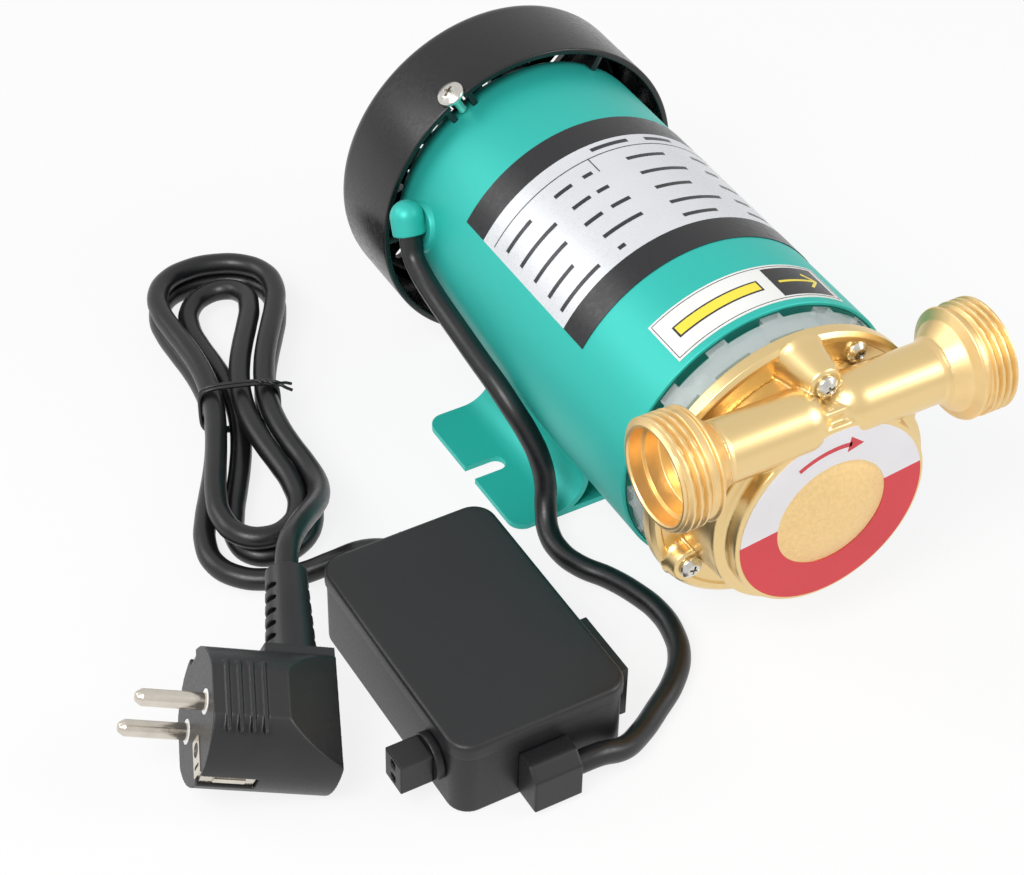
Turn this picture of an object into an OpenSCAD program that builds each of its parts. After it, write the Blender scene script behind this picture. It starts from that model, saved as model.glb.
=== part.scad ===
// Hot-water booster pump with a drawn motor can, a cast brass pump head,
// a control box in its lead and an angled mains plug.
// The pump axis runs along Y, the brass head faces -Y, the two pipes run
// along X and the foot stands on z = 0 with its centre at the origin.

/* [Motor can] */
// outside radius of the drawn can
can_r = 45; // [44.8:0.1:45.1]
// height of the can's underside above the floor
can_lift = 8; // [7.7:0.1:8.3]
// sheet thickness of the can
can_wall = 1.2; // [1:0.1:1.4]
// distance of the can's open front edge ahead of the foot's centre
can_front = 73.2; // [73:0.1:73.4]
// distance of the can's closed rear behind the foot's centre
can_rear = 63.8; // [63.6:0.1:64]
// radius of the can's rear edge
can_edge = 4; // [3:0.5:5]
// depth of the pressed pocket for the rear bearing
pocket_depth = 6; // [5:0.5:7]
// radius of the flat ring pressed around the lead's outlet
boss_r = 7.3; // [6.5:0.1:8]
// how far the outlet ring stands out of the can
boss_rise = 1.2; // [1:0.1:1.3]
// distance of the lead's outlet behind the foot's centre
boss_y = 46.8; // [46:0.2:47.4]
// angle of the lead's outlet from the top, towards the left
boss_angle = 78; // [76:1:80]

/* [Foot] */
// thickness of the bent sheet
foot_t = 2; // [1.5:0.5:2.5]
// length of the foot along the pump axis
foot_len = 56.6; // [54:0.2:58]
// half width over the two flanges
foot_half = 52.6; // [52:0.2:54]
// inner radius of the bend up to the saddle
foot_bend = 10; // [9:0.5:11]
// distance of the bend's centre from the middle
bend_x = 39.3; // [38.8:0.1:39.8]
// width of the open mounting slots
slot_w = 6.2; // [5.2:0.5:7.2]
// distance of the slots' closed ends from the middle
slot_end = 40.5; // [40.2:0.1:41.5]
// corner radius of the flanges
foot_corner = 5; // [3:0.5:6]

/* [Clear ring and pump head] */
// length of the clear ring between can and brass plate
ring_len = 11; // [10:0.5:12]
// outside radius of the clear ring
ring_r = 43.5; // [43:0.1:43.6]
// wall of the clear ring
ring_wall = 2.4; // [2:0.1:3]
// depth of the notches in both edges of the clear ring
notch_cut = 2.2; // [1.8:0.1:2.6]
// number of tabs round each edge of the clear ring
tab_count = 15; // [12:1:18]
// width of one tab
tab_w = 6.5; // [5:0.5:8]
// radius of the brass back plate
plate_r = 45.2; // [45:0.1:45.2]
// thickness of the brass back plate
plate_t = 4; // [3.5:0.5:4.5]
// width of the bevel round the back plate
plate_bevel = 1; // [0.5:0.5:1.5]
// radius of the front casting at the plate
drum_r = 36; // [35.8:0.1:36.5]
// radius of the front casting at its front
drum_front_r = 35; // [34.5:0.1:35.4]
// length from the back plate to the front disc's face
head_len = 21.9; // [21.5:0.1:22.5]
// radius of the front disc
disc_r = 31.5; // [31:0.1:32]
// thickness of the front disc
disc_t = 4.9; // [4.5:0.1:5.5]
// radius of the domed middle
dome_r = 17.3; // [17:0.1:18]
// height of the domed middle
dome_h = 4.5; // [4:0.1:5]
// inner radius of the head's wet chamber
chamber_r = 30; // [29.9:0.1:30.2]
// depth of the wet chamber
chamber_len = 10; // [9.9:0.1:10.2]
// inner radius of the side channel
channel_in = 22; // [21.5:0.5:23]
// outer radius of the side channel
channel_out = 32.5; // [32:0.1:33]
// depth of the side channel in front of the chamber
channel_depth = 3; // [2.5:0.1:3.2]
// angle that the block between the two ports fills
stripper = 28; // [26:1:30]

/* [Pipes] */
// height of the pipes' axis above the pump axis
pipe_up = 30; // [29.8:0.1:30.2]
// distance of the pipes' axis behind the front disc's face
pipe_back = 8.4; // [8.2:0.1:8.6]
// outside radius of the pipe necks
neck_r = 9.25; // [9:0.05:9.5]
// radius of the water way
bore_r = 6.5; // [6:0.1:6.8]
// distance of the flares' start from the middle
flare_start = 34; // [33:0.5:35]
// distance of the flares' end from the middle
flare_end = 43; // [42.5:0.5:43.5]
// distance of the first thread from the middle
thread_start = 45.1; // [44.6:0.1:45.6]
// distance of the pipe ends from the middle
pipe_end = 54.3; // [54:0.1:54.6]
// radius of the threads
thread_r = 16.6; // [16.5:0.1:16.7]
// radius of the groove before the thread
groove_r = 15.4; // [15:0.1:15.6]
// radius of the mouths
mouth_r = 14; // [13.8:0.1:14.2]
// depth of the mouths
mouth_depth = 9.5; // [9:0.1:10]
// half distance from pipe end to pipe end over the middle saddle
pipe_stop = 9; // [8:0.5:10]

/* [Screws] */
// radius of the circle that the head's screws stand on
screw_circle = 39.2; // [39:0.1:39.4]
// shank radius of the head's screws
screw_r = 2; // [1.8:0.1:2.2]
// head radius of the head's screws
head_r = 3.5; // [3.3:0.1:3.7]
// head height of the head's screws
head_h = 2.4; // [2.2:0.1:2.6]
// height of the tall boss's top behind the disc's face
tall_back = 8.8; // [8.6:0.1:9]
// height of the low bosses' tops behind the disc's face
low_back = 17; // [16.5:0.1:17.3]
// head radius of the cowl's screws
cowl_head_r = 4.3; // [4.1:0.1:4.5]

/* [Cowl and fan] */
// gap between the can and the cowl's wall
cowl_gap = 5; // [4.8:0.1:5.3]
// wall of the cowl
cowl_wall = 2; // [1.8:0.1:2.2]
// distance of the cowl's rim behind the foot's centre
cowl_front = 56.3; // [56.1:0.1:56.5]
// length of the cowl
cowl_len = 30.5; // [30.3:0.1:31]
// radius of the cowl's rear edge
cowl_edge = 4; // [3.5:0.5:4.5]
// width of the notches that the screws pass
notch_w = 5.5; // [5.2:0.1:6]
// depth of those notches
notch_depth = 6; // [5.5:0.1:6.5]
// number of slots in each ring of the rear grille
grille_count = 20; // [16:1:22]
// width of the grille slots
grille_w = 3; // [2.5:0.5:3.5]
// number of fan blades
blade_count = 9; // [7:1:11]
// gap between the fan blades and the cowl's wall
fan_play = 7; // [6:0.5:10]

/* [Motor inside] */
// length of the stator stack
stack_len = 56; // [50:1:58]
// number of stator slots
slot_count = 24; // [18:6:24]
// radius of the rotor
rotor_r = 23.2; // [23:0.1:23.3]
// gap between rotor and stator
air_gap = 0.4; // [0.35:0.05:0.5]
// shaft radius in the bearings
shaft_r = 6; // [5.9:0.1:6.1]
// outside radius of the bearings
bearing_r = 16; // [15.9:0.1:16.1]
// width of the bearings
bearing_w = 10; // [9.9:0.1:10.1]
// radius of a bearing ball
ball_r = 2.8; // [2.7:0.05:2.85]
// number of balls in a bearing
ball_count = 7; // [6:1:8]

/* [Impeller and seal] */
// radius of the impeller
impeller_r = 29.5; // [29.4:0.1:29.6]
// number of pockets on each side of the impeller's rim
pocket_count = 36; // [30:1:40]
// width of one pocket
pocket_w = 3.4; // [3:0.1:3.6]
// inner radius of the pockets
pocket_in = 23.5; // [23:0.1:24]
// web left between the two rows of pockets
web_t = 1.8; // [1.6:0.1:2]
// running gap between impeller and chamber
side_gap = 0.5; // [0.4:0.05:0.5]
// mean radius of the seal spring
spring_r = 8; // [7.8:0.1:8.2]
// wire radius of the seal spring
wire_r = 0.7; // [0.6:0.05:0.75]

/* [Labels] */
// thickness of the labels
label_t = 0.2; // [0.15:0.05:0.25]
// half angle of the rating label
rating_half = 60; // [58:1:61]
// front edge of the rating label ahead of the foot's centre
rating_front = 39.9; // [39.7:0.1:40.1]
// length of the rating label
rating_len = 67.1; // [66.9:0.1:67.3]
// width of its dark bands
band_w = 10.3; // [10:0.1:10.6]
// half angle of the flow label
flow_half = 37; // [36:1:38]
// front edge of the flow label ahead of the foot's centre
flow_front = 70.9; // [70.7:0.1:71.1]
// length of the flow label
flow_len = 16.3; // [16:0.1:16.5]
// outer radius of the disc label
disc_label_r = 30; // [29.8:0.1:30.2]

/* [Control box] */
// width of the control box
box_w = 54.6; // [54:0.2:54.6]
// length of the control box
box_len = 83.4; // [83:0.2:83.4]
// height of the control box
box_h = 27; // [26:0.5:27.5]
// corner radius of the control box
box_corner = 7; // [6:0.5:8]
// wall of the control box
box_wall = 2; // [1.8:0.1:2.2]
// height of the box's cover
cover_h = 5; // [4.5:0.5:5.5]
// how far the cover stands over the base
cover_lip = 0.5; // [0.3:0.1:0.6]
// distance of the box's middle left of the pump axis
box_x = 95.1; // [95:0.1:95.3]
// distance of the box's front face ahead of the foot's centre
box_front = 118.5; // [118.4:0.1:118.6]

/* [Leads and plug] */
// diameter of the leads
cord_d = 6.8; // [6.6:0.1:6.8]
// half length of the outer loops of the hank
hank_outer = 72.2; // [71.6:0.1:72.2]
// half length of the inner loop of the hank
hank_inner = 63.8; // [63.6:0.1:64]
// distance of the outer strands from the middle at the waist
hank_waist = 7.6; // [7.5:0.1:7.8]
// added swell of the outer loops
swell_outer = 42; // [41:0.5:43]
// added swell of the inner loop
swell_inner = 22; // [21.5:0.5:22.5]
// height from the lower to the upper layer of strands
hank_layer = 7.4; // [7.3:0.1:7.6]
// radius of the plug's face
plug_r = 19; // [18.5:0.1:19.5]
// depth of the plug behind its face
plug_depth = 38; // [36:0.5:39]
// radius of the plug's pins
pin_r = 2.4; // [2.35:0.05:2.45]
// length of the plug's pins
pin_len = 19; // [18.5:0.1:19.5]
// distance from pin to pin
pin_pitch = 19; // [18.8:0.1:19.2]
// length of the plug's tapered strain relief
relief_len = 27; // [25:0.5:28]

/* [Hidden] */

// fine facets for plain curved faces and coarse ones for swept forms
$fn = 96;
// overrun of every cut past the face that it opens
over = 0.5;
// clearance between mating pieces of one body
fit = 0.1;
// clearance between a loose piece and its seat
seated = 0.3;

// planes along the pump axis, negative towards the brass head
y_can = -can_front;
y_ring = y_can - ring_len;
y_plate = y_ring - plate_t;
y_disc = y_plate - head_len;
y_drum = y_disc + disc_t;
y_chamber = y_plate - chamber_len;
y_pipe = y_disc + pipe_back;
y_tall = y_disc + tall_back;
y_low = y_disc + low_back;
can_in = can_r - can_wall;
axis_h = can_r + can_lift;
z_pipe = axis_h + pipe_up;

// legs of the foot, from the bend up to the can
leg_x = bend_x - foot_bend - foot_t / 2;
leg_top = axis_h - sqrt(pow(can_r + fit, 2) - pow(leg_x + foot_t / 2, 2));

// front end of the motor
lip_t = 1;
shield_t = 3;
y_shield = y_can + shield_t;
y_front_bearing = y_can + lip_t;
y_front_bearing_end = y_front_bearing + bearing_w;
shield_boss_r = bearing_r + shield_t;
lip_r = 12;
post_r = 2.6;
post_circle = 37.6;
post_count = 6;

// rear end of the motor
y_pocket = can_rear + pocket_depth;
y_rear_bearing_end = y_pocket - can_wall;
y_rear_bearing = y_rear_bearing_end - bearing_w;
pocket_r = bearing_r + can_wall;
tail_hole_r = 7;
washer_t = 0.5;

// shaft steps
tip_r = 4;
seal_shaft_r = 5;
body_r = 7.5;
nut_len = 5;
y_nut = y_chamber + side_gap - nut_len;
y_tip = y_nut - web_t;
y_impeller = y_chamber + side_gap;
y_impeller_back = y_plate - side_gap;
y_step = y_front_bearing - fit;
y_fan = y_pocket + cowl_wall;
fan_len = 10;
fan_disc_t = 2;
y_tail = y_fan + fan_len + seated;
hub_r = 9;

// stator and rotor
half_stack = stack_len / 2;
stator_in = rotor_r + air_gap;
slot_in = stator_in + 1.5 * can_wall;
slot_out = 36;
stator_slot_w = 3.2;
mouth_w = 1.4;
bundle_len = 14;
bundle_in = 27;
bundle_out = 40;
bar_play = 0.35;
end_ring_len = 8;
end_ring_in = 12;
end_ring_r = rotor_r - can_wall;

// bearings
ball_circle = (shaft_r + bearing_r) / 2;
race_groove = ball_r + seated;
race_half = 2;
inner_race_r = ball_circle - race_half;
outer_race_in = ball_circle + race_half;
cage_t = 1.2;
cage_len = 7;

// seal and backplate hub
backplate_hub_r = 15;
hub_len = 8.2;
seal_r = 12;
seal_lip = 2;
seat_t = 3;
seat_bore = 5.6;
y_hub = y_ring + hub_len;
y_seat = y_hub - seal_lip - seat_t;
head_t = 3;
seal_head_r = 10.4;
seal_play = 0.1;
y_head_end = y_seat - seal_play;
y_head = y_head_end - head_t;
slinger_r = 13;
slinger_t = 1.4;
y_slinger = y_hub + 0.7 * lip_t;
spring_turns = 2;
spring_rings = 20;
spring_sides = 6;

// hood over the lead's outlet
hood_r = 5.2;
hood_len = 5.5;
hood_tilt = [-24.8, 3.2, 0];

// front casting
dome_sphere = (dome_r * dome_r + dome_h * dome_h) / (2 * dome_h);
nut_pocket_r = 9;
nut_pocket_len = 8.5;
boss_base_r = 7.6;
boss_top_r = 5.2;
low_boss_r = 5.4;
casing_angles = [90, 210, 330];
plate_angles = [60, 180, 300];
pocket_floor = 1.4;
saddle_w = 15;
saddle_t = 7;
gasket_r = 34;
gasket_w = 1.2;
gasket_t = 0.6;
drive_w = 0.9;
drive_r = 2;
drive_depth = 1.2;

// cowl
cowl_r = can_r + cowl_gap + cowl_wall;
fan_r = cowl_r - cowl_wall - fan_play;
y_cowl_end = cowl_front + cowl_len;
cowl_screw_y = cowl_front + 2.5;
cowl_angles = [-31, 89, 209];
rib_angles = [29, 149, 269];
rib_w = 2;
rib_len = 8;
cowl_screw_rise = 0.4;
cowl_head_h = 2.4;
cowl_lug_turn = 5;
grille_shares = [[0.27, 0.52], [0.615, 0.865]];

// labels
glue_t = 0.05;
y_rating = -rating_front;
y_rating_end = y_rating + rating_len;
y_flow = -flow_front;
y_flow_end = y_flow + flow_len;
arrow_from = 10;
arrow_to = 34;
arrow_margin = 1.6;

// control box
x_box = -box_x;
y_box = -box_front;
y_box_end = y_box + box_len;
base_h = box_h - cover_h;
board_t = 1.6;
board_z = 6;
board_margin = 5;
box_screw_r = 1.5;
box_screw_in = 7.5;
capacitor_r = 7.5;
capacitor_len = 34;
gland_w = 15;
gland_t = 2.5;
gland_len = 9;
gland_z = 9.5;
gland_y = y_box - gland_len / 2;
mains_gland_r = 5.6;
mains_gland_len = 7;
mains_gland_x = -89.2;
mains_gland_z = 14;
mains_gland_turn = 135;
connector_y = -104.5;
connector_z = 13.6;
connector_w = 9;
connector_h = 10.5;
connector_len = 10;
grommet_r = 7;
grommet_t = 2.1;
contact_w = 2.6;
contact_depth = 6;
clip_w = 23;
clip_t = 5.8;
clip_h = 18;
clip_y = -96.5;
clip_slot = 2.2;

// plug
plug_at = [-176.3, -70.7, 24.8];
plug_turn = [45, -65.2, -65.8];
plug_flat = 17.6;
taper_from = 21;
side_taper = 28;
low_taper = 40;
shoulder_w = 16;
shoulder_len = 20;
key_w = 5.5;
key_depth = 2.2;
relief_from = 20;
relief_back = 28;
relief_r1 = 7.2;
relief_r2 = 5.9;
relief_slot = 1.5;
relief_pitch = 4;
relief_rows = 5;
ring_out = 3.5;
pin_ring_t = 0.5;
pin_root = 8;
root_share = 0.85;
contact_t = 1;
clip_depth = 16;

// cord
cord_r = cord_d / 2;
cord_sides = 10;
hank_sides = 6;
loop_rings = 24;
hank_end = 1020;
climb_from = 450;
climb_to = 630;
skew_low = 5;
skew_high = -2;
hank_shares = [0, 0, 0, 0, 1, 1, 1, 1, 1, 0, 0, 0, 0, 0];
hank_at = [-104.6, 54.1];
hank_along = [0.33, 0.944];
hank_across = [0.944, -0.33];
tie_r = 1;
tie_lift = 2 * tie_r + seated;
tie_sides = 8;
tie_rings = 28;

// route of the motor lead from the hood on the can to the control box
motor_route = [[-49.2, 44.6, 63], [-49.6, 41.7, 56.9], [-49.7, 36.4, 53.6], [-49.5, 29, 50.8],
  [-49.4, 21.4, 49], [-49.2, 13, 47.2], [-48.7, 2.4, 44.4], [-47.9, -7.4, 41.4], [-46.6, -15, 37],
  [-44.4, -20.4, 30.6], [-42.8, -24.8, 23.4], [-42.4, -27.8, 15.8], [-44.2, -31.4, 9.6],
  [-46.4, -37, 5.4], [-46.8, -45, 3.8], [-44.6, -52.8, 3.5], [-39.8, -61, 3.5], [-36, -70.8, 3.5],
  [-34.2, -80.2, 3.5], [-35.2, -89.6, 3.5], [-38.6, -98, 3.5], [-45.4, -105.6, 3.5],
  [-55.2, -112.4, 3.6], [-64.6, -118.4, 4.4], [-72.6, -122.4, 6.6], [-80.4, -123, 9.2],
  [-88.2, -123, 9.5]];
// route of the mains lead from the control box to the hank's lower end
box_route = [[-94.3, -30, 14], [-99, -25.3, 14], [-104, -22, 11.8], [-109.8, -20, 7.8],
  [-116, -18.4, 4.7]];
// route from the hank's upper strand to the plug's strain relief
plug_route = [[-100.2, 6.4, 13.4], [-104, -1.4, 16.6], [-109.6, -9, 21], [-116.4, -16, 26], [-123.4, -23.4, 30.2]];

function unit(v) = v / norm(v);
function heading(p, i) = unit(p[min(i + 1, len(p) - 1)] - p[max(i - 1, 0)]);
function carried(u, t) = unit(u - (u * t) * t);
function normals(p, i, u) =
  i == len(p) ? [] : let (n = carried(u, heading(p, i))) concat([n], normals(p, i + 1, n));
function spline_at(a, b, c, d, t) =
  (2 * b + t * (c - a) + t * t * (2 * a - 5 * b + 4 * c - d) + t * t * t * (3 * b - a - 3 * c + d)) / 2;
function smooth(p, k) = concat([for (i = [0 : len(p) - 2]) for (j = [0 : k - 1])
  spline_at(p[max(i - 1, 0)], p[i], p[i + 1], p[min(i + 2, len(p) - 1)], j / k)], [p[len(p) - 1]]);
function path_length(p) = [for (i = [1 : len(p) - 1]) norm(p[i] - p[i - 1])] * [for (i = [1 : len(p) - 1]) 1];

// one turn about each axis in the order of rotate()
function turn_x(p, a) = [p[0], p[1] * cos(a) - p[2] * sin(a), p[1] * sin(a) + p[2] * cos(a)];
function turn_y(p, a) = [p[0] * cos(a) + p[2] * sin(a), p[1], p[2] * cos(a) - p[0] * sin(a)];
function turn_z(p, a) = [p[0] * cos(a) - p[1] * sin(a), p[0] * sin(a) + p[1] * cos(a), p[2]];
function plug_point(p) =
  plug_at + turn_z(turn_y(turn_x(p, plug_turn[0]), plug_turn[1]), plug_turn[2]);

// share of the way from the outer loop to the inner loop at an angle along the hank
function eased(t) = (1 - cos(180 * t)) / 2;
function inner_share(a) = let (k = floor(a / 90), t = a / 90 - k)
  hank_shares[k] + (hank_shares[k + 1] - hank_shares[k]) * eased(t);
function mixed(a, outer, inner) = outer + (inner - outer) * inner_share(a);
function hank_v(a) = -cos(a) * mixed(a, hank_outer, hank_inner);
function hank_u(a) = (cos(a) > 0 ? skew_low : skew_high) * pow(sin(2 * a), 2)
  - sin(a) * (mixed(a, hank_waist, 0) + mixed(a, swell_outer, swell_inner) * pow(cos(a), 2));
function hank_z(a) =
  cord_r + tie_lift * pow(sin(a), 2)
  + hank_layer * eased(min(max((a - climb_from) / (climb_to - climb_from), 0), 1));
function hank_point(a) =
  let (xy = hank_at + hank_u(a) * hank_across + hank_v(a) * hank_along) [xy[0], xy[1], hank_z(a)];
hank_step = 360 / loop_rings;
hank_path = [for (a = [0 : hank_step : hank_end]) hank_point(a)];
hank_gap = min([for (i = [0 : len(hank_path) - 8]) for (j = [i + 7 : len(hank_path) - 1])
  norm(hank_path[i] - hank_path[j])]) - cord_d;

relief_tip = plug_point([0, relief_from + relief_len + fit, -relief_back]);
relief_before = plug_point([0, relief_from + relief_len + cord_d, -relief_back]);
motor_path = smooth(motor_route, 3);
hank_start = hank_path[0];
hank_tip = hank_path[len(hank_path) - 1];
before_hank = hank_start - cord_r * unit(hank_path[1] - hank_start);
after_hank = hank_tip + cord_r * unit(hank_tip - hank_path[len(hank_path) - 2]);
box_path = concat(smooth(concat(box_route, [before_hank]), 3), [hank_start]);
plug_path = concat([hank_tip], smooth(concat([after_hank], plug_route, [relief_before]), 3), [relief_tip]);

// puts children on the pump axis with their z along +Y
module on_axis(y = 0) {
  translate([0, y, axis_h]) rotate([-90, 0, 0]) children();
}

module rod(r, y0, y1) {
  on_axis(y0) cylinder(r = r, h = y1 - y0);
}

module pipe(r_out, r_in, y0, y1) {
  difference() {
    rod(r_out, y0, y1);
    rod(r_in, y0 - over, y1 + over);
  }
}

// a piece of a ring between two angles, counted from the top towards +X
module patch(r0, r1, y0, y1, from, to) {
  on_axis() rotate([0, 0, from - 90]) rotate_extrude(angle = to - from)
    translate([r0, y0]) square([r1 - r0, y1 - y0]);
}

// a place on the screw circle, its z forwards
module face_place(angle, y, r = screw_circle) {
  translate([r * cos(angle), y, axis_h + r * sin(angle)]) rotate([90, 0, 0]) children();
}

// a radial place on the can, its z outwards
module spoke(angle, y) {
  translate([0, y, axis_h]) rotate([0, angle, 0]) children();
}

// cross-head screw with its head's underside at z = 0
module screw(shank_r, shank_len, r, h) {
  difference() {
    union() {
      translate([0, 0, -shank_len]) cylinder(r = shank_r, h = shank_len);
      cylinder(r = r, h = h / 2);
      translate([0, 0, h / 2]) cylinder(r1 = r, r2 = r * 0.75, h = h / 2);
    }
    for (turn = [0, 90])
      rotate([0, 0, turn]) translate([-drive_r, -drive_w / 2, h - drive_depth])
        cube([2 * drive_r, drive_w, drive_depth + over]);
  }
}

// tube swept along a list of points, closed at both ends
module swept(path, r, sides, start = [0, 0, 1]) {
  side = normals(path, 0, start);
  last = len(path) - 1;
  rings = [for (i = [0 : last]) for (j = [0 : sides - 1])
    let (t = heading(path, i), n = side[i], b = cross(t, n), a = 360 * j / sides)
    path[i] + r * (cos(a) * n + sin(a) * b)];
  walls = [for (i = [0 : last - 1]) for (j = [0 : sides - 1]) let (k = (j + 1) % sides)
    [i * sides + j, (i + 1) * sides + j, (i + 1) * sides + k, i * sides + k]];
  thirds = [for (w = walls) for (half = [0, 1])
    half == 0 ? [w[0], w[1], w[2]] : [w[0], w[2], w[3]]];
  first_cap = [for (j = [1 : sides - 2]) [0, j, j + 1]];
  last_cap = [for (j = [1 : sides - 2]) [last * sides, last * sides + j + 1, last * sides + j]];
  polyhedron(points = rings, faces = concat(thirds, first_cap, last_cap));
}

module foot_section() {
  difference() {
    union() {
      translate([-foot_half, 0]) square([2 * foot_half, foot_t]);
      for (side = [-1, 1]) {
        intersection() {
          difference() {
            translate([side * bend_x, foot_bend + foot_t]) circle(r = foot_bend + foot_t);
            translate([side * bend_x, foot_bend + foot_t]) circle(r = foot_bend);
          }
          translate([side > 0 ? 0 : -bend_x, 0]) square([bend_x, foot_bend + foot_t]);
        }
        translate([side * leg_x - foot_t / 2, foot_bend + foot_t])
          square([foot_t, max(leg_top - foot_bend - foot_t, foot_t)]);
      }
      intersection() {
        translate([0, axis_h]) circle(r = can_r + fit + foot_t);
        translate([-bend_x + foot_bend, 0]) square([2 * (bend_x - foot_bend), axis_h / 2]);
      }
    }
    translate([0, axis_h]) circle(r = can_r + fit);
  }
}

module foot_bracket() {
  color([0.05, 0.6, 0.53]) difference() {
    translate([0, foot_len / 2, 0]) rotate([90, 0, 0]) linear_extrude(foot_len) foot_section();
    for (side = [-1, 1]) {
      slot_x = slot_end + slot_w / 2;
      translate([side * slot_x, 0, -over]) cylinder(d = slot_w, h = foot_t + 2 * over);
      translate([side > 0 ? slot_x : -foot_half - over, -slot_w / 2, -over])
        cube([foot_half - slot_x + over, slot_w, foot_t + 2 * over]);
      for (end = [-1, 1])
        translate([side * (foot_half - foot_corner), end * (foot_len / 2 - foot_corner), -over])
          difference() {
            translate([side > 0 ? 0 : -foot_corner - over, end > 0 ? 0 : -foot_corner - over, 0])
              cube([foot_corner + over, foot_corner + over, foot_t + 2 * over]);
            translate([0, 0, -over]) cylinder(r = foot_corner, h = foot_t + 4 * over);
          }
    }
  }
}

// half section of a cup that opens towards -y
module cup(r, y0, y1, edge) {
  translate([0, y0]) square([r, y1 - y0 - edge]);
  translate([0, y0]) square([r - edge, y1 - y0]);
  translate([r - edge, y1 - edge]) circle(r = edge);
}

module motor_housing() {
  color([0.05, 0.6, 0.53]) difference() {
    union() {
      on_axis() rotate_extrude() {
        cup(can_r, y_can, can_rear, can_edge);
        translate([0, can_rear - can_edge]) square([pocket_r, pocket_depth + can_edge]);
      }
      spoke(-boss_angle, boss_y) cylinder(r = boss_r, h = can_r + boss_rise);
    }
    on_axis() rotate_extrude() {
      cup(can_in, y_can - over, can_rear - can_wall, can_edge - can_wall);
      square([bearing_r + fit, y_pocket - can_wall]);
      square([tail_hole_r, y_pocket + over]);
    }
    spoke(-boss_angle, boss_y) cylinder(r = boss_r - foot_t, h = can_r + boss_rise + over);
  }
}

// painted hood that turns the lead down along the can
module lead_hood() {
  color([0.05, 0.55, 0.48]) difference() {
    union() {
      spoke(-boss_angle, boss_y) cylinder(r = boss_r - foot_t - fit, h = can_r + boss_rise);
      translate(motor_route[0]) rotate(hood_tilt) {
        translate([0, 0, fit]) cylinder(r = hood_r, h = hood_len - fit);
        translate([0, 0, hood_len]) sphere(r = hood_r);
      }
    }
    rod(can_in, boss_y - can_r, can_rear);
    difference() {
      rod(can_r + fit, boss_y - can_r, can_rear);
      spoke(-boss_angle, boss_y) cylinder(r = boss_r - foot_t - fit, h = can_r + boss_rise);
    }
    spoke(-boss_angle, boss_y) difference() {
      cylinder(r = boss_r + fit, h = can_r + boss_rise + fit);
      translate([0, 0, -over]) cylinder(r = boss_r - foot_t - fit, h = can_r + 2 * boss_rise);
    }
  }
}

module rear_slot(r0, r1) {
  translate([r0, -grille_w / 2, 0]) cube([r1 - r0, grille_w, cowl_wall + 2 * over]);
  translate([r0, 0, 0]) cylinder(d = grille_w, h = cowl_wall + 2 * over);
  translate([r1, 0, 0]) cylinder(d = grille_w, h = cowl_wall + 2 * over);
}

module fan_cowl() {
  color([0.03, 0.03, 0.035]) {
    difference() {
      on_axis() rotate_extrude() difference() {
        intersection() {
          cup(cowl_r, cowl_front, y_cowl_end, cowl_edge);
          translate([0, cowl_front]) square([cowl_r, cowl_len]);
        }
        cup(cowl_r - cowl_wall, cowl_front - over, y_cowl_end - cowl_wall, cowl_edge - cowl_wall);
      }
      for (ring = [0, 1])
        for (i = [0 : grille_count - 1])
          on_axis(y_cowl_end - cowl_wall - over)
            rotate([0, 0, 360 / grille_count * (i + ring / 2)])
              rear_slot(grille_shares[ring][0] * cowl_r, grille_shares[ring][1] * cowl_r);
      for (a = cowl_angles)
        spoke(a, cowl_front) translate([0, 0, can_r]) {
          translate([-notch_w / 2, -over, 0]) cube([notch_w, notch_depth - notch_w / 2 + over, cowl_r]);
          translate([0, notch_depth - notch_w / 2, 0]) cylinder(d = notch_w, h = cowl_r);
        }
    }
    for (a = concat(rib_angles, [for (b = cowl_angles) for (side = [-1, 1]) b + side * cowl_lug_turn]))
      intersection() {
        spoke(a, cowl_front) translate([-rib_w / 2, 0, can_r - rib_w])
          cube([rib_w, rib_len, cowl_r - can_r + cowl_wall / 2]);
        pipe(cowl_r - cowl_wall / 2, can_r + fit, cowl_front, cowl_front + rib_len);
      }
  }
}

module cowl_screws() {
  color([0.8, 0.78, 0.74]) for (a = cowl_angles)
    spoke(a, cowl_screw_y) translate([0, 0, cowl_r + cowl_screw_rise])
      screw(screw_r, cowl_r + cowl_screw_rise - can_r - fit, cowl_head_r, cowl_head_h);
}

module rating_label() {
  color([0.85, 0.86, 0.87])
    patch(can_r + glue_t, can_r + glue_t + label_t, y_rating + band_w, y_rating_end - band_w, -rating_half, rating_half);
}

module rating_bands() {
  color([0.06, 0.06, 0.06]) {
    patch(can_r + glue_t, can_r + glue_t + label_t, y_rating, y_rating + band_w, -rating_half, rating_half);
    patch(can_r + glue_t, can_r + glue_t + label_t, y_rating_end - band_w, y_rating_end, -rating_half, rating_half);
  }
}

module flow_label() {
  color([0.92, 0.92, 0.9]) difference() {
    patch(can_r + glue_t, can_r + glue_t + label_t, y_flow, y_flow_end, -flow_half, flow_half);
    patch(can_r, can_r + label_t + over, y_flow + arrow_margin, y_flow_end - arrow_margin,
      arrow_from, arrow_to);
  }
}

module flow_arrow_field() {
  color([0.08, 0.08, 0.08]) patch(can_r + glue_t, can_r + glue_t + label_t, y_flow + arrow_margin,
    y_flow_end - arrow_margin, arrow_from, arrow_to);
}

module stator_slots(play) {
  for (i = [0 : slot_count - 1])
    on_axis(-half_stack - over) rotate([0, 0, 360 / slot_count * i]) {
      translate([slot_in + play, play - stator_slot_w / 2, 0])
        cube([slot_out - slot_in - 2 * play, stator_slot_w - 2 * play, stack_len + 2 * over]);
      if (play == 0)
        translate([stator_in - over, -mouth_w / 2, 0])
          cube([slot_in - stator_in + 2 * over, mouth_w, stack_len + 2 * over]);
    }
}

module stator_core() {
  color([0.45, 0.46, 0.48]) difference() {
    pipe(can_in - fit, stator_in, -half_stack, half_stack);
    stator_slots(0);
  }
}

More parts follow.
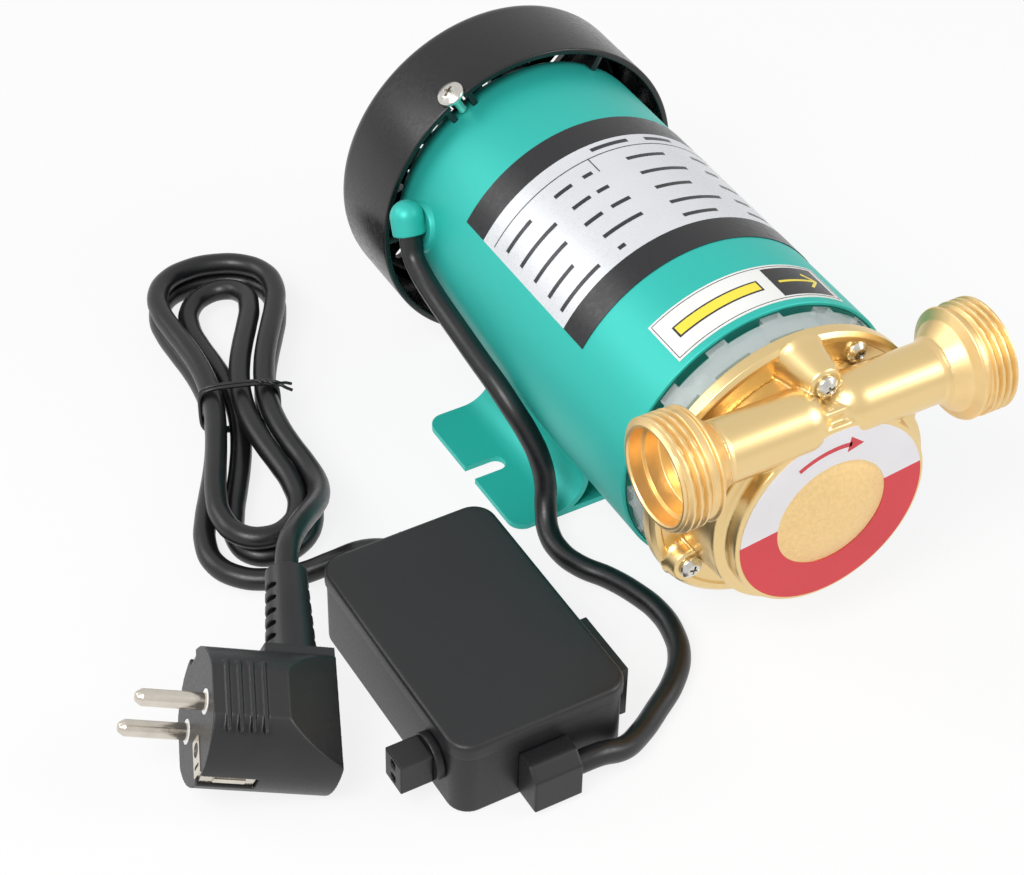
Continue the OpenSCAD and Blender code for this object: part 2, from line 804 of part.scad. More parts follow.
module stator_winding() {
  color([0.72, 0.35, 0.16]) {
    for (end = [-1, 1])
      on_axis(end > 0 ? half_stack + bar_play : -half_stack - bar_play - bundle_len)
        rotate_extrude() translate([bundle_in, 0]) {
          edge = bundle_len / 4;
          translate([0, edge]) square([bundle_out - bundle_in, bundle_len - 2 * edge]);
          translate([edge, 0]) square([bundle_out - bundle_in - 2 * edge, bundle_len]);
          for (x = [edge, bundle_out - bundle_in - edge])
            for (y = [edge, bundle_len - edge])
              translate([x, y]) circle(r = edge);
        }
    stator_slots(bar_play);
  }
}

module front_shield() {
  color([0.03, 0.3, 0.26]) {
    difference() {
      union() {
        rod(can_in - fit, y_can, y_shield);
        rod(shield_boss_r, y_can, y_front_bearing_end);
        for (i = [0 : post_count - 1])
          face_place(360 / post_count * (i + 0.5), y_can, post_circle)
            cylinder(r = post_r, h = ring_len);
        pipe(ring_r - ring_wall - fit, ring_r - ring_wall - foot_t, y_ring + seated, y_can);
      }
      rod(bearing_r + fit, y_front_bearing, y_front_bearing_end + over);
      rod(lip_r, y_can - over, y_front_bearing + over);
    }
  }
}

module ball_track(y) {
  on_axis(y + bearing_w / 2) rotate_extrude() translate([ball_circle, 0]) circle(r = race_groove);
}

module outer_races() {
  color([0.62, 0.63, 0.65]) for (y = [y_front_bearing, y_rear_bearing])
    difference() {
      pipe(bearing_r, outer_race_in, y, y + bearing_w);
      ball_track(y);
    }
}

module inner_races() {
  color([0.66, 0.67, 0.69]) for (y = [y_front_bearing, y_rear_bearing])
    difference() {
      pipe(inner_race_r, shaft_r, y, y + bearing_w);
      ball_track(y);
    }
}

module bearing_balls() {
  color([0.75, 0.76, 0.78]) for (y = [y_front_bearing, y_rear_bearing])
    for (i = [0 : ball_count - 1])
      face_place(360 / ball_count * i, y + bearing_w / 2, ball_circle) sphere(r = ball_r);
}

module ball_cages() {
  color([0.6, 0.5, 0.25]) for (y = [y_front_bearing, y_rear_bearing])
    difference() {
      pipe(ball_circle + cage_t / 2, ball_circle - cage_t / 2, y + (bearing_w - cage_len) / 2,
        y + (bearing_w + cage_len) / 2);
      for (i = [0 : ball_count - 1])
        spoke(90 - 360 / ball_count * i, y + bearing_w / 2)
          translate([0, 0, inner_race_r]) cylinder(r = ball_r + fit, h = outer_race_in - inner_race_r);
    }
}

module wave_washer() {
  color([0.55, 0.55, 0.56])
    pipe(bearing_r - cage_t, lip_r, y_front_bearing_end, y_front_bearing_end + washer_t);
}

module clear_ring() {
  color([0.8, 0.85, 0.86, 0.45]) difference() {
    pipe(ring_r, ring_r - ring_wall, y_ring, y_can);
    step = 360 / tab_count;
    half = tab_w / ring_r * 90 / PI;
    for (i = [0 : tab_count - 1]) {
      patch(ring_r - ring_wall - over, ring_r + over, y_can - notch_cut, y_can + over,
        step * i + half, step * (i + 1) - half);
      patch(ring_r - ring_wall - over, ring_r + over, y_ring - over, y_ring + notch_cut,
        step * (i - 0.5) + half, step * (i + 0.5) - half);
    }
  }
}

module backplate() {
  color([0.8, 0.6, 0.28]) difference() {
    union() {
      on_axis() rotate_extrude() polygon([[0, y_plate], [plate_r - plate_bevel, y_plate],
        [plate_r, y_plate + plate_bevel], [plate_r, y_ring], [0, y_ring]]);
      rod(backplate_hub_r, y_ring, y_hub);
    }
    rod(seal_r, y_plate - over, y_hub - seal_lip);
    rod(lip_r - seat_t - seal_lip, y_plate - over, y_hub + over);
    for (a = concat(casing_angles, plate_angles))
      face_place(a, y_ring + over) cylinder(r = screw_r + fit, h = plate_t + 2 * over);
    on_axis(y_plate - over) difference() {
      cylinder(r = gasket_r + gasket_w, h = gasket_t + over);
      translate([0, 0, -over]) cylinder(r = gasket_r - gasket_w, h = gasket_t + 3 * over);
    }
  }
}

module seal_seat() {
  color([0.85, 0.84, 0.8]) pipe(seal_r, seat_bore, y_seat, y_seat + seat_t);
}

module chamber_gasket() {
  color([0.1, 0.1, 0.1])
    pipe(gasket_r + gasket_w - fit, gasket_r - gasket_w + fit, y_plate, y_plate + gasket_t);
}

// one pipe from the middle outwards, side is -1 or 1
module pipe_body(side) {
  translate([0, y_pipe, z_pipe]) rotate([0, side * 90, 0]) {
    translate([0, 0, pipe_stop]) sphere(r = neck_r);
    translate([0, 0, pipe_stop]) cylinder(r = neck_r, h = flare_start - pipe_stop);
    translate([0, 0, flare_start]) cylinder(r1 = neck_r, r2 = thread_r, h = flare_end - flare_start);
    translate([0, 0, flare_end]) cylinder(r = groove_r, h = thread_start - flare_end);
    translate([0, 0, thread_start]) cylinder(r = thread_r, h = pipe_end - thread_start);
  }
}

module pipe_ways(side) {
  translate([0, y_pipe, z_pipe]) rotate([0, side * 90, 0]) {
    translate([0, 0, pipe_stop]) cylinder(r = bore_r, h = pipe_end);
    translate([0, 0, pipe_end - mouth_depth]) cylinder(r = mouth_r, h = mouth_depth + over);
  }
}

module pump_casing() {
  color([0.83, 0.63, 0.3]) difference() {
    union() {
      on_axis() rotate_extrude() polygon([[0, y_disc], [disc_r, y_disc], [disc_r, y_drum],
        [drum_front_r, y_drum + plate_bevel], [drum_r, y_plate], [0, y_plate]]);
      intersection() {
        on_axis(y_disc - dome_h + dome_sphere) sphere(r = dome_sphere);
        rod(dome_r, y_disc - dome_h - over, y_disc + over);
      }
      for (side = [-1, 1])
        difference() {
          pipe_body(side);
          rod(disc_r, y_disc - neck_r, y_disc);
        }
      translate([-pipe_stop, y_disc + disc_t / 2, axis_h + disc_r - saddle_t / 2])
        cube([2 * pipe_stop, saddle_w / 2, saddle_t]);
      face_place(casing_angles[0], y_plate)
        cylinder(r1 = boss_base_r, r2 = boss_top_r, h = y_plate - y_tall);
      for (i = [1, 2])
        face_place(casing_angles[i], y_plate)
          cylinder(r1 = low_boss_r + plate_bevel / 2, r2 = low_boss_r, h = y_plate - y_low);
    }
    rod(chamber_r, y_chamber, y_plate + over);
    on_axis() rotate([0, 0, stripper / 2 - 90]) rotate_extrude(angle = 360 - stripper)
      translate([channel_in, y_chamber - channel_depth])
        square([channel_out - channel_in, chamber_len + channel_depth + over]);
    rod(nut_pocket_r, y_chamber - nut_pocket_len, y_chamber + over);
    for (side = [-1, 1])
      pipe_ways(side);
    face_place(casing_angles[0], y_plate + over)
      cylinder(r = screw_r + fit, h = y_plate - y_tall + 2 * over);
    for (i = [1, 2])
      face_place(casing_angles[i], y_plate + over)
        cylinder(r = screw_r + fit, h = y_plate - y_low + 2 * over);
    for (a = plate_angles)
      face_place(a, y_plate + over) cylinder(r = head_r + seated, h = head_len);
  }
}

module casing_screws() {
  color([0.8, 0.78, 0.74]) for (i = [0 : 2]) {
    y_top = i == 0 ? y_tall : y_low;
    face_place(casing_angles[i], y_top) screw(screw_r, y_ring - y_top, head_r, head_h);
  }
}

module backplate_screws() {
  color([0.8, 0.78, 0.74]) for (a = plate_angles)
    face_place(a, y_plate) screw(screw_r, plate_t, head_r, head_h);
}

module disc_label() {
  color([0.9, 0.25, 0.25])
    pipe(disc_label_r, dome_r + seated, y_disc - label_t, y_disc);
}

module shaft() {
  color([0.7, 0.71, 0.73]) {
    rod(tip_r, y_tip, y_impeller_back);
    rod(seal_shaft_r, y_impeller_back, y_step);
    rod(shaft_r, y_step, y_front_bearing_end);
    rod(body_r, y_front_bearing_end, y_rear_bearing);
    rod(shaft_r, y_rear_bearing, y_pocket);
    rod(tip_r, y_pocket, y_tail);
  }
}

module rotor_core() {
  color([0.5, 0.51, 0.53]) pipe(rotor_r, body_r, -half_stack, half_stack);
}

module rotor_rings() {
  color([0.75, 0.76, 0.77]) for (y = [-half_stack - end_ring_len, half_stack])
    pipe(end_ring_r, end_ring_in, y, y + end_ring_len);
}

module impeller() {
  color([0.78, 0.6, 0.3]) difference() {
    pipe(impeller_r, tip_r, y_impeller, y_impeller_back);
    depth = (y_impeller_back - y_impeller - web_t) / 2;
    for (y = [y_impeller - over, y_impeller_back - depth])
      for (i = [0 : pocket_count - 1])
        on_axis(y) rotate([0, 0, 360 / pocket_count * i]) translate([pocket_in, -pocket_w / 2, 0])
          cube([impeller_r, pocket_w, depth + over]);
  }
}

module impeller_nut() {
  color([0.75, 0.74, 0.7]) difference() {
    on_axis(y_nut) cylinder(r = nut_pocket_r - 1.5 * lip_t, h = nut_len, $fn = 6);
    rod(tip_r, y_nut - over, y_nut + nut_len + over);
  }
}

module seal_head() {
  color([0.2, 0.2, 0.21]) pipe(seal_head_r, seal_shaft_r, y_head, y_head_end);
}

module seal_spring() {
  rise = y_head - y_impeller_back - 2 * wire_r;
  steps = spring_turns * spring_rings;
  path = [for (i = [0 : steps]) let (a = 360 * i / spring_rings)
    [spring_r * cos(a), y_impeller_back + wire_r + rise * i / steps, axis_h + spring_r * sin(a)]];
  color([0.7, 0.7, 0.72]) swept(path, wire_r, spring_sides, [1, 0, 0]);
}

module water_slinger() {
  color([0.08, 0.08, 0.08]) pipe(slinger_r, seal_shaft_r, y_slinger, y_slinger + slinger_t);
}

module cooling_fan() {
  color([0.1, 0.1, 0.1]) {
    pipe(hub_r, tip_r, y_fan, y_fan + fan_len);
    pipe(fan_r * 0.7, hub_r - fit, y_fan, y_fan + fan_disc_t);
    for (i = [0 : blade_count - 1])
      on_axis(y_fan) rotate([0, 0, 360 / blade_count * i])
        translate([hub_r - fan_disc_t / 2, -fan_disc_t / 2, 0])
          cube([fan_r - hub_r + fan_disc_t / 2, fan_disc_t, fan_len]);
  }
}

module fan_clip() {
  color([0.6, 0.6, 0.62]) pipe(hub_r - fan_disc_t, tip_r, y_fan + fan_len, y_tail);
}

// footprint of the control box
module box_plan(inset) {
  r = box_corner - inset;
  w = box_w / 2 - inset;
  l = box_len / 2 - inset;
  translate([x_box, y_box + box_len / 2]) {
    translate([-w + r, -l]) square([2 * (w - r), 2 * l]);
    translate([-w, -l + r]) square([2 * w, 2 * (l - r)]);
    for (sx = [-1, 1])
      for (sy = [-1, 1])
        translate([sx * (w - r), sy * (l - r)]) circle(r = r);
  }
}

module box_corners(inset) {
  for (sx = [-1, 1])
    for (sy = [-1, 1])
      translate([x_box + sx * (box_w / 2 - inset), y_box + box_len / 2 + sy * (box_len / 2 - inset), 0])
        children();
}

module box_base() {
  color([0.035, 0.035, 0.04]) difference() {
    union() {
      difference() {
        linear_extrude(base_h) box_plan(cover_lip);
        translate([0, 0, box_wall]) linear_extrude(base_h) box_plan(cover_lip + box_wall);
      }
      box_corners(box_screw_in) cylinder(r = 2 * box_screw_r, h = base_h);
    }
    box_corners(box_screw_in) translate([0, 0, -over]) cylinder(r = box_screw_r + fit, h = box_h);
    box_corners(box_screw_in) translate([0, 0, -over]) cylinder(r = 2 * box_screw_r - lip_t / 2, h = box_wall);
  }
}

module box_cover() {
  color([0.03, 0.03, 0.035]) difference() {
    translate([0, 0, base_h]) linear_extrude(cover_h) box_plan(0);
    difference() {
      translate([0, 0, base_h - over]) linear_extrude(cover_h - box_wall + over)
        box_plan(cover_lip + box_wall);
      box_corners(box_screw_in) cylinder(r = 2 * box_screw_r, h = box_h);
    }
    box_corners(box_screw_in) translate([0, 0, base_h - over])
      cylinder(r = box_screw_r, h = cover_h - box_wall + over);
  }
}

module box_screws() {
  color([0.6, 0.6, 0.6]) box_corners(box_screw_in) {
    cylinder(r = 2 * box_screw_r - lip_t / 2 - fit, h = box_wall - over);
    cylinder(r = box_screw_r, h = box_h - box_wall - fit);
  }
}

module box_board() {
  color([0.1, 0.35, 0.15]) difference() {
    union() {
      translate([x_box - box_w / 2 + board_margin, y_box + board_margin, board_z])
        cube([box_w - 2 * board_margin, box_len - 2 * board_margin, board_t]);
      for (sy = [-1, 1])
        translate([x_box, y_box + box_len / 2 + sy * box_len / 4, box_wall])
          cylinder(r = board_t, h = board_z - box_wall);
    }
    box_corners(box_screw_in) cylinder(r = 2 * box_screw_r + seated, h = box_h);
  }
}

module run_capacitor() {
  color([0.85, 0.85, 0.82])
    translate([x_box + capacitor_r + board_t, y_box_end - board_margin - capacitor_len - box_corner,
      board_z + board_t + capacitor_r]) rotate([-90, 0, 0]) cylinder(r = capacitor_r, h = capacitor_len);
}

module box_relay() {
  color([0.15, 0.3, 0.6]) translate([x_box - box_w / 4, y_box + box_len / 4, board_z + board_t])
    cube([box_w / 4, box_len / 4, box_h / 2]);
}

module box_gland_motor() {
  color([0.03, 0.03, 0.03]) difference() {
    translate([x_box - gland_w / 2 - board_t / 2, y_box - gland_len, gland_z - gland_w / 2])
      cube([gland_w, gland_len + cover_lip, gland_w]);
    translate([x_box - board_t / 2, y_box - gland_len, gland_z + gland_w / 2]) rotate([45, 0, 0])
      translate([-gland_w, -gland_t, -gland_t]) cube([2 * gland_w, 2 * gland_t, 2 * gland_t]);
  }
}

module box_gland_mains() {
  color([0.03, 0.03, 0.03]) difference() {
    translate([mains_gland_x, y_box_end, mains_gland_z]) rotate([0, 90, mains_gland_turn])
      translate([0, 0, -mains_gland_len]) cylinder(r = mains_gland_r, h = 2 * mains_gland_len);
    translate([mains_gland_x - gland_w, y_box_end - cover_lip - 2 * gland_w, 0])
      cube([2 * gland_w, 2 * gland_w, box_h]);
  }
}

module sensor_grommet() {
  color([0.04, 0.04, 0.04]) translate([x_box - box_w / 2 + cover_lip, connector_y, connector_z])
    rotate([0, -90, 0]) cylinder(r = grommet_r, h = grommet_t + cover_lip);
}

module sensor_connector() {
  x_wall = x_box - box_w / 2 - grommet_t;
  color([0.05, 0.05, 0.05]) difference() {
    translate([x_wall - connector_len, connector_y - connector_w / 2, connector_z - connector_h / 2])
      cube([connector_len, connector_w, connector_h]);
    for (side = [-1, 1])
      translate([x_wall - connector_len - over, connector_y - contact_w / 2,
        connector_z + side * connector_h / 4 - contact_w / 2])
        cube([contact_depth, contact_w, contact_w]);
  }
}

module side_clip() {
  color([0.04, 0.04, 0.04]) difference() {
    translate([x_box + box_w / 2 - cover_lip, clip_y - clip_w / 2, foot_t])
      cube([clip_t, clip_w, clip_h]);
    translate([x_box + box_w / 2 + clip_slot / 2, clip_y - clip_w, foot_t - over])
      cube([clip_slot, 2 * clip_w, clip_h - clip_slot + over]);
  }
}

module motor_lead() {
  color([0.04, 0.04, 0.04]) swept(motor_path, cord_r, cord_sides, [1, 0, 0]);
}

module mains_lead_box() {
  color([0.04, 0.04, 0.04]) swept(box_path, cord_r, cord_sides);
}

module mains_hank() {
  color([0.04, 0.04, 0.04]) swept(hank_path, cord_r, hank_sides);
}

module mains_lead_plug() {
  color([0.04, 0.04, 0.04]) swept(plug_path, cord_r, cord_sides);
}

// wire tie wound round the hank's waist
module hank_tie() {
  half_w = hank_waist + cord_r + tie_r + seated;
  top = 2 * cord_r + hank_layer + tie_lift + seated + tie_r;
  ring = [for (i = [0 : tie_rings]) let (a = 360 * i / tie_rings + 1,
    c = cos(a), s = sin(a), m = pow(pow(abs(c), 5) + pow(abs(s), 5), -0.2))
    [hank_at[0] + hank_across[0] * half_w * c * m, hank_at[1] + hank_across[1] * half_w * c * m,
      tie_r + (top - tie_r) * (1 + s * m) / 2]];
  color([0.02, 0.02, 0.02]) swept([for (i = [0 : tie_rings - 1]) ring[i]], tie_r, tie_sides,
    [hank_along[0], hank_along[1], 0]);
}

// plug frame: x from pin to pin, y towards the lead, z out of the face
module in_plug() {
  translate(plug_at) rotate(plug_turn) children();
}

module plug_body() {
  color([0.035, 0.035, 0.04]) in_plug() difference() {
    union() {
      intersection() {
        translate([0, 0, -plug_depth]) cylinder(r = plug_r, h = plug_depth);
        translate([-plug_flat, -plug_r, -plug_depth]) cube([2 * plug_flat, 2 * plug_r, plug_depth]);
      }
      translate([-shoulder_w / 2, 0, -plug_depth]) cube([shoulder_w, relief_from, shoulder_len]);
    }
    for (side = [-1, 1])
      translate([side * plug_flat, 0, -taper_from]) rotate([0, side * side_taper, 0])
        translate([side > 0 ? 0 : -plug_r, -2 * plug_r, -2 * plug_depth])
          cube([plug_r, 4 * plug_r, 2 * plug_depth]);
    translate([0, -plug_r, -taper_from]) rotate([-low_taper, 0, 0])
      translate([-2 * plug_r, -plug_r, -2 * plug_depth]) cube([4 * plug_r, plug_r, 2 * plug_depth]);
    for (side = [-1, 1])
      translate([-key_w / 2, side > 0 ? plug_r - key_depth : -plug_r - over, -clip_depth])
        cube([key_w, key_depth + over, clip_depth + over]);
    for (side = [-1, 1])
      translate([side * pin_pitch / 2, 0, -pin_root])
        cylinder(r = pin_r * root_share, h = pin_root + over);
    for (side = [-1, 1])
      translate([side * pin_pitch / 2, 0, -pin_ring_t]) cylinder(r = ring_out, h = pin_ring_t + over);
  }
}

module plug_relief() {
  color([0.035, 0.035, 0.04]) in_plug() translate([0, relief_from, -relief_back]) rotate([-90, 0, 0])
    difference() {
      cylinder(r1 = relief_r1, r2 = relief_r2, h = relief_len);
      for (i = [1 : relief_rows])
        for (side = [-1, 1])
          translate([-cord_r, side > 0 ? cord_r + fit : -cord_r - fit - relief_r1, i * relief_pitch])
            cube([cord_d, relief_r1, relief_slot]);
    }
}

module plug_pins() {
  color([0.8, 0.78, 0.74]) in_plug() for (side = [-1, 1])
    translate([side * pin_pitch / 2, 0, 0]) {
      translate([0, 0, -pin_root]) cylinder(r = pin_r * root_share, h = pin_root);
      cylinder(r = pin_r, h = pin_len - pin_r);
      translate([0, 0, pin_len - pin_r]) sphere(r = pin_r);
    }
}

module plug_pin_rings() {
  color([0.9, 0.9, 0.9]) in_plug() for (side = [-1, 1])
    translate([side * pin_pitch / 2, 0, -pin_ring_t]) difference() {
      cylinder(r = ring_out, h = pin_ring_t);
      translate([0, 0, -over]) cylinder(r = pin_r * root_share, h = pin_ring_t + 2 * over);
    }
}

module plug_earth_contacts() {
  color([0.85, 0.84, 0.8]) in_plug() for (side = [-1, 1])
    translate([-key_w / 2 + fit, side > 0 ? plug_r - key_depth : -plug_r + key_depth - contact_t,
      -clip_depth]) cube([key_w - 2 * fit, contact_t, clip_depth - lip_t]);
}

echo(hank_gap = hank_gap, motor = path_length(motor_path), box = path_length(box_path),
  hank = path_length(hank_path), plug = path_length(plug_path), tip = relief_tip);

foot_bracket();
motor_housing();
lead_hood();
fan_cowl();
cowl_screws();
rating_label();
rating_bands();
flow_label();
flow_arrow_field();
stator_core();
stator_winding();
front_shield();
outer_races();
wave_washer();
clear_ring();
backplate();
seal_seat();
chamber_gasket();
pump_casing();
casing_screws();
backplate_screws();
disc_label();
shaft();
rotor_core();
rotor_rings();
inner_races();
impeller();
impeller_nut();
seal_head();
seal_spring();
water_slinger();
cooling_fan();
fan_clip();
bearing_balls();
ball_cages();
box_base();
box_cover();
box_screws();
box_board();
run_capacitor();
box_relay();
box_gland_motor();
box_gland_mains();
sensor_grommet();
sensor_connector();
side_clip();
motor_lead();
mains_lead_box();
mains_hank();
mains_lead_plug();
hank_tie();
plug_body();
plug_relief();
plug_pins();
plug_pin_rings();
plug_earth_contacts();
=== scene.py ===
import math

import bmesh
import bpy
from bpy.props import FloatProperty, FloatVectorProperty, IntProperty, PointerProperty
from mathutils import Euler, Matrix, Vector


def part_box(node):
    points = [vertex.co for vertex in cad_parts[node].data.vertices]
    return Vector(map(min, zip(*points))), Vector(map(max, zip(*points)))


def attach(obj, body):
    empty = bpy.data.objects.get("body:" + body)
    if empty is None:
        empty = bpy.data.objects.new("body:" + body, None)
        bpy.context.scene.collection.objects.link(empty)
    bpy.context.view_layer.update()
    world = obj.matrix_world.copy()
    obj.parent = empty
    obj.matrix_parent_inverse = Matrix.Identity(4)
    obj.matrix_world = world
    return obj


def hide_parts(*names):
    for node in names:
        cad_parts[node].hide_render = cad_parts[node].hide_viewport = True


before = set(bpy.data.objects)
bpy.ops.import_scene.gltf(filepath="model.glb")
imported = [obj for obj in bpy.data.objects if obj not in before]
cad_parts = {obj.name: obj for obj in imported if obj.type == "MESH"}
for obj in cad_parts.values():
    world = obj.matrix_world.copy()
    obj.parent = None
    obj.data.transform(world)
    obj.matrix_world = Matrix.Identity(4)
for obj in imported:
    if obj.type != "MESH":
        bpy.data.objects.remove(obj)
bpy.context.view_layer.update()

bl_info = {
    "name": "Booster pump looks",
    "version": (1, 0, 0),
    "blender": (4, 5, 0),
    "location": "3D View > Sidebar > Pump",
    "description": "Builds the finishes and fine forms of a hot-water booster pump round its solid model",
    "category": "Object",
}

MM = 0.001

# planes and sizes of the solid model, in millimetres
def size_of(node, axis):
    low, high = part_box(node)
    return low[axis] / MM, high[axis] / MM


CAN_FRONT, CAN_POCKET = size_of("motor_housing", 1)
RING_FRONT = size_of("clear_ring", 1)[0]
PLATE_FRONT = size_of("backplate", 1)[0]
COWL_FRONT, COWL_REAR = size_of("fan_cowl", 1)
COWL_R = size_of("fan_cowl", 0)[1]
PLATE_R = size_of("backplate", 0)[1]
AXIS_Z = sum(size_of("backplate", 2)) / 2
PIPE_END = size_of("pump_casing", 0)[1]
CAN_R = 45.0
CAN_WALL = 1.2
CAN_REAR = CAN_POCKET - 6.0
DISC_FRONT = PLATE_FRONT - 21.9
PIPE_Y = DISC_FRONT + 8.4
PIPE_Z = AXIS_Z + 30.0
SCREW_CIRCLE = 39.2
LEAD_OUTLET_Y = 46.8
LEAD_OUTLET_ANGLE = -78.0

# routes of the leads, in millimetres, as in the solid model
MOTOR_ROUTE = [
    (-49.2, 44.6, 63), (-49.6, 41.7, 56.9), (-49.7, 36.4, 53.6), (-49.5, 29, 50.8), (-49.4, 21.4, 49),
    (-49.2, 13, 47.2), (-48.7, 2.4, 44.4), (-47.9, -7.4, 41.4), (-46.6, -15, 37), (-44.4, -20.4, 30.6),
    (-42.8, -24.8, 23.4), (-42.4, -27.8, 15.8), (-44.2, -31.4, 9.6), (-46.4, -37, 5.4), (-46.8, -45, 3.8),
    (-44.6, -52.8, 3.5), (-39.8, -61, 3.5), (-36, -70.8, 3.5), (-34.2, -80.2, 3.5), (-35.2, -89.6, 3.5),
    (-38.6, -98, 3.5), (-45.4, -105.6, 3.5), (-55.2, -112.4, 3.6), (-64.6, -118.4, 4.4),
    (-72.6, -122.4, 6.6), (-80.4, -123, 9.2), (-88.2, -123, 9.5),
]
BOX_ROUTE = [(-94.3, -30, 14), (-99, -25.3, 14), (-104, -22, 11.8), (-109.8, -20, 7.8), (-116, -18.4, 4.7)]
PLUG_ROUTE = [
    (-100.2, 6.4, 13.4), (-104, -1.4, 16.6), (-109.6, -9, 21), (-116.4, -16, 26), (-123.4, -23.4, 30.2),
]
HANK_AT = Vector((-104.6, 54.1))
HANK_ALONG = Vector((0.33, 0.944))
HANK_ACROSS = Vector((0.944, -0.33))
HANK_SHARES = [0, 0, 0, 0, 1, 1, 1, 1, 1, 0, 0, 0, 0, 0]
HANK_END = 1020
HANK_STEP = 15
CORD_R = 3.4
PLUG_AT = Vector((-176.3, -70.7, 24.8))
PLUG_TURN = (45, -65.2, -65.8)
PIN_PITCH = 19.0
HANK_TIPS = (72.2, 63.8)
HANK_WAIST = 7.6
HANK_SWELL = (42, 30)
HANK_SKEW = (3, -2)
HANK_CLIMB = (450, 180)
HANK_LAYER = 7.4
TIE_LIFT = 2.3
RELIEF_TIP = (0, 47.1, -28)
RELIEF_BEFORE = (0, 53.8, -28)

# forms of the pieces, in millimetres and degrees
BORE_R = 6.5
COWL_WALL = 2.0
COWL_SCREW_ANGLES = (-31, 89, 209)
COWL_RIB_ANGLES = (29, 149, 269, -36, -26, 84, 94, 204, 214)
GRILLE_ROWS = ((14.04, 27.04), (31.98, 44.98))
GRILLE_COUNT = 20
LOW_BOSS_ANGLES = (210, 330)
PLATE_SCREW_ANGLES = (60, 180, 300)
LABEL_TURN = -0.122
LABEL_RISE = 3
INK_R = CAN_R + 0.27
INK = 0.03
RULE_Y = 11.4
ROW_Y = (5.6, -2.4, -10.4, -18.4, -25.4)
FLOW_Y = -62.7

# floor, surround and lamps
NOISE_RANGE = (0.3, 0.7)
FLOOR_TONE = 0.86
FLOOR_GLOW = 0.84
AMBIENT_SHARE = 0.36
GLOSS_SHARE = 0.45
LAMPS = (
    ("key_light", (-0.9, -0.5, 1.15), (-0.02, -0.02, 0.04), 0.7, 14.0),
    ("fill_light", (0.95, -0.75, 0.8), (0, -0.02, 0.05), 0.7, 7.0),
    ("rear_light", (-0.95, 0.7, 0.8), (0, 0, 0.05), 0.7, 4.0),
)


# ---- sizes and colours that a user would change

def shade(red, green, blue):
    """A colour written in screen values, as the linear numbers that a shader takes."""
    def linear(value):
        value /= 255
        return value / 12.92 if value <= 0.04045 else ((value + 0.055) / 1.055) ** 2.4
    return (linear(red), linear(green), linear(blue))


def colour_prop(name, description, value):
    return FloatVectorProperty(
        name=name, description=description, subtype="COLOR", size=3, min=0, max=1, default=value
    )


class PumpSizes(bpy.types.PropertyGroup):
    """Fine sizes of the forms that are laid over the solid model"""

    cord_diameter: FloatProperty(
        name="Lead", description="Outside diameter of the leads", unit="LENGTH", default=2 * CORD_R * MM
    )
    thread_pitch: FloatProperty(
        name="Thread pitch", description="Distance from ridge to ridge of the pipe threads",
        unit="LENGTH", default=0.002309,
    )
    thread_depth: FloatProperty(
        name="Thread depth", description="Height of the thread ridges", unit="LENGTH", default=0.0013
    )
    cast_voxel: FloatProperty(
        name="Casting grain", description="Cell size at which the cast brass head is blended",
        unit="LENGTH", default=0.00045,
    )
    mould_voxel: FloatProperty(
        name="Moulding grain", description="Cell size at which the small mouldings are blended",
        unit="LENGTH", default=0.0003,
    )
    lathe_steps: IntProperty(
        name="Turning steps", description="Faces round each turned form", default=144, min=24, max=360
    )


class PumpColours(bpy.types.PropertyGroup):
    """Colours of the finishes"""

    paint: colour_prop("Can paint", "Satin paint of the can and the foot", shade(0, 150, 139))
    shield: colour_prop("Shield paint", "Dark paint inside the clear ring", shade(0, 78, 70))
    brass: colour_prop("Brass", "Cast brass of the pump head", shade(240, 208, 150))
    cowl: colour_prop("Cowl", "Moulded fan cowl", shade(17, 17, 18))
    box: colour_prop("Control box", "Moulded control box", shade(22, 22, 24))
    sheath: colour_prop("Leads", "Sheath of the leads", shade(21, 21, 23))
    plug: colour_prop("Plug", "Moulded plug", shade(28, 28, 30))
    label_red: colour_prop("Disc label", "Red part of the disc label", shade(214, 48, 58))
    label_silver: colour_prop("Rating label", "Silver film of the rating label", shade(222, 224, 228))


def sizes():
    return bpy.context.scene.pump_sizes


def colours():
    return bpy.context.scene.pump_colours


# ---- finishes

def add_node(tree, kind, operation=None, inputs=()):
    made = tree.nodes.new("ShaderNode" + kind)
    if operation:
        made.operation = operation
    for socket, value in dict(inputs).items():
        made.inputs[socket].default_value = value
    return made


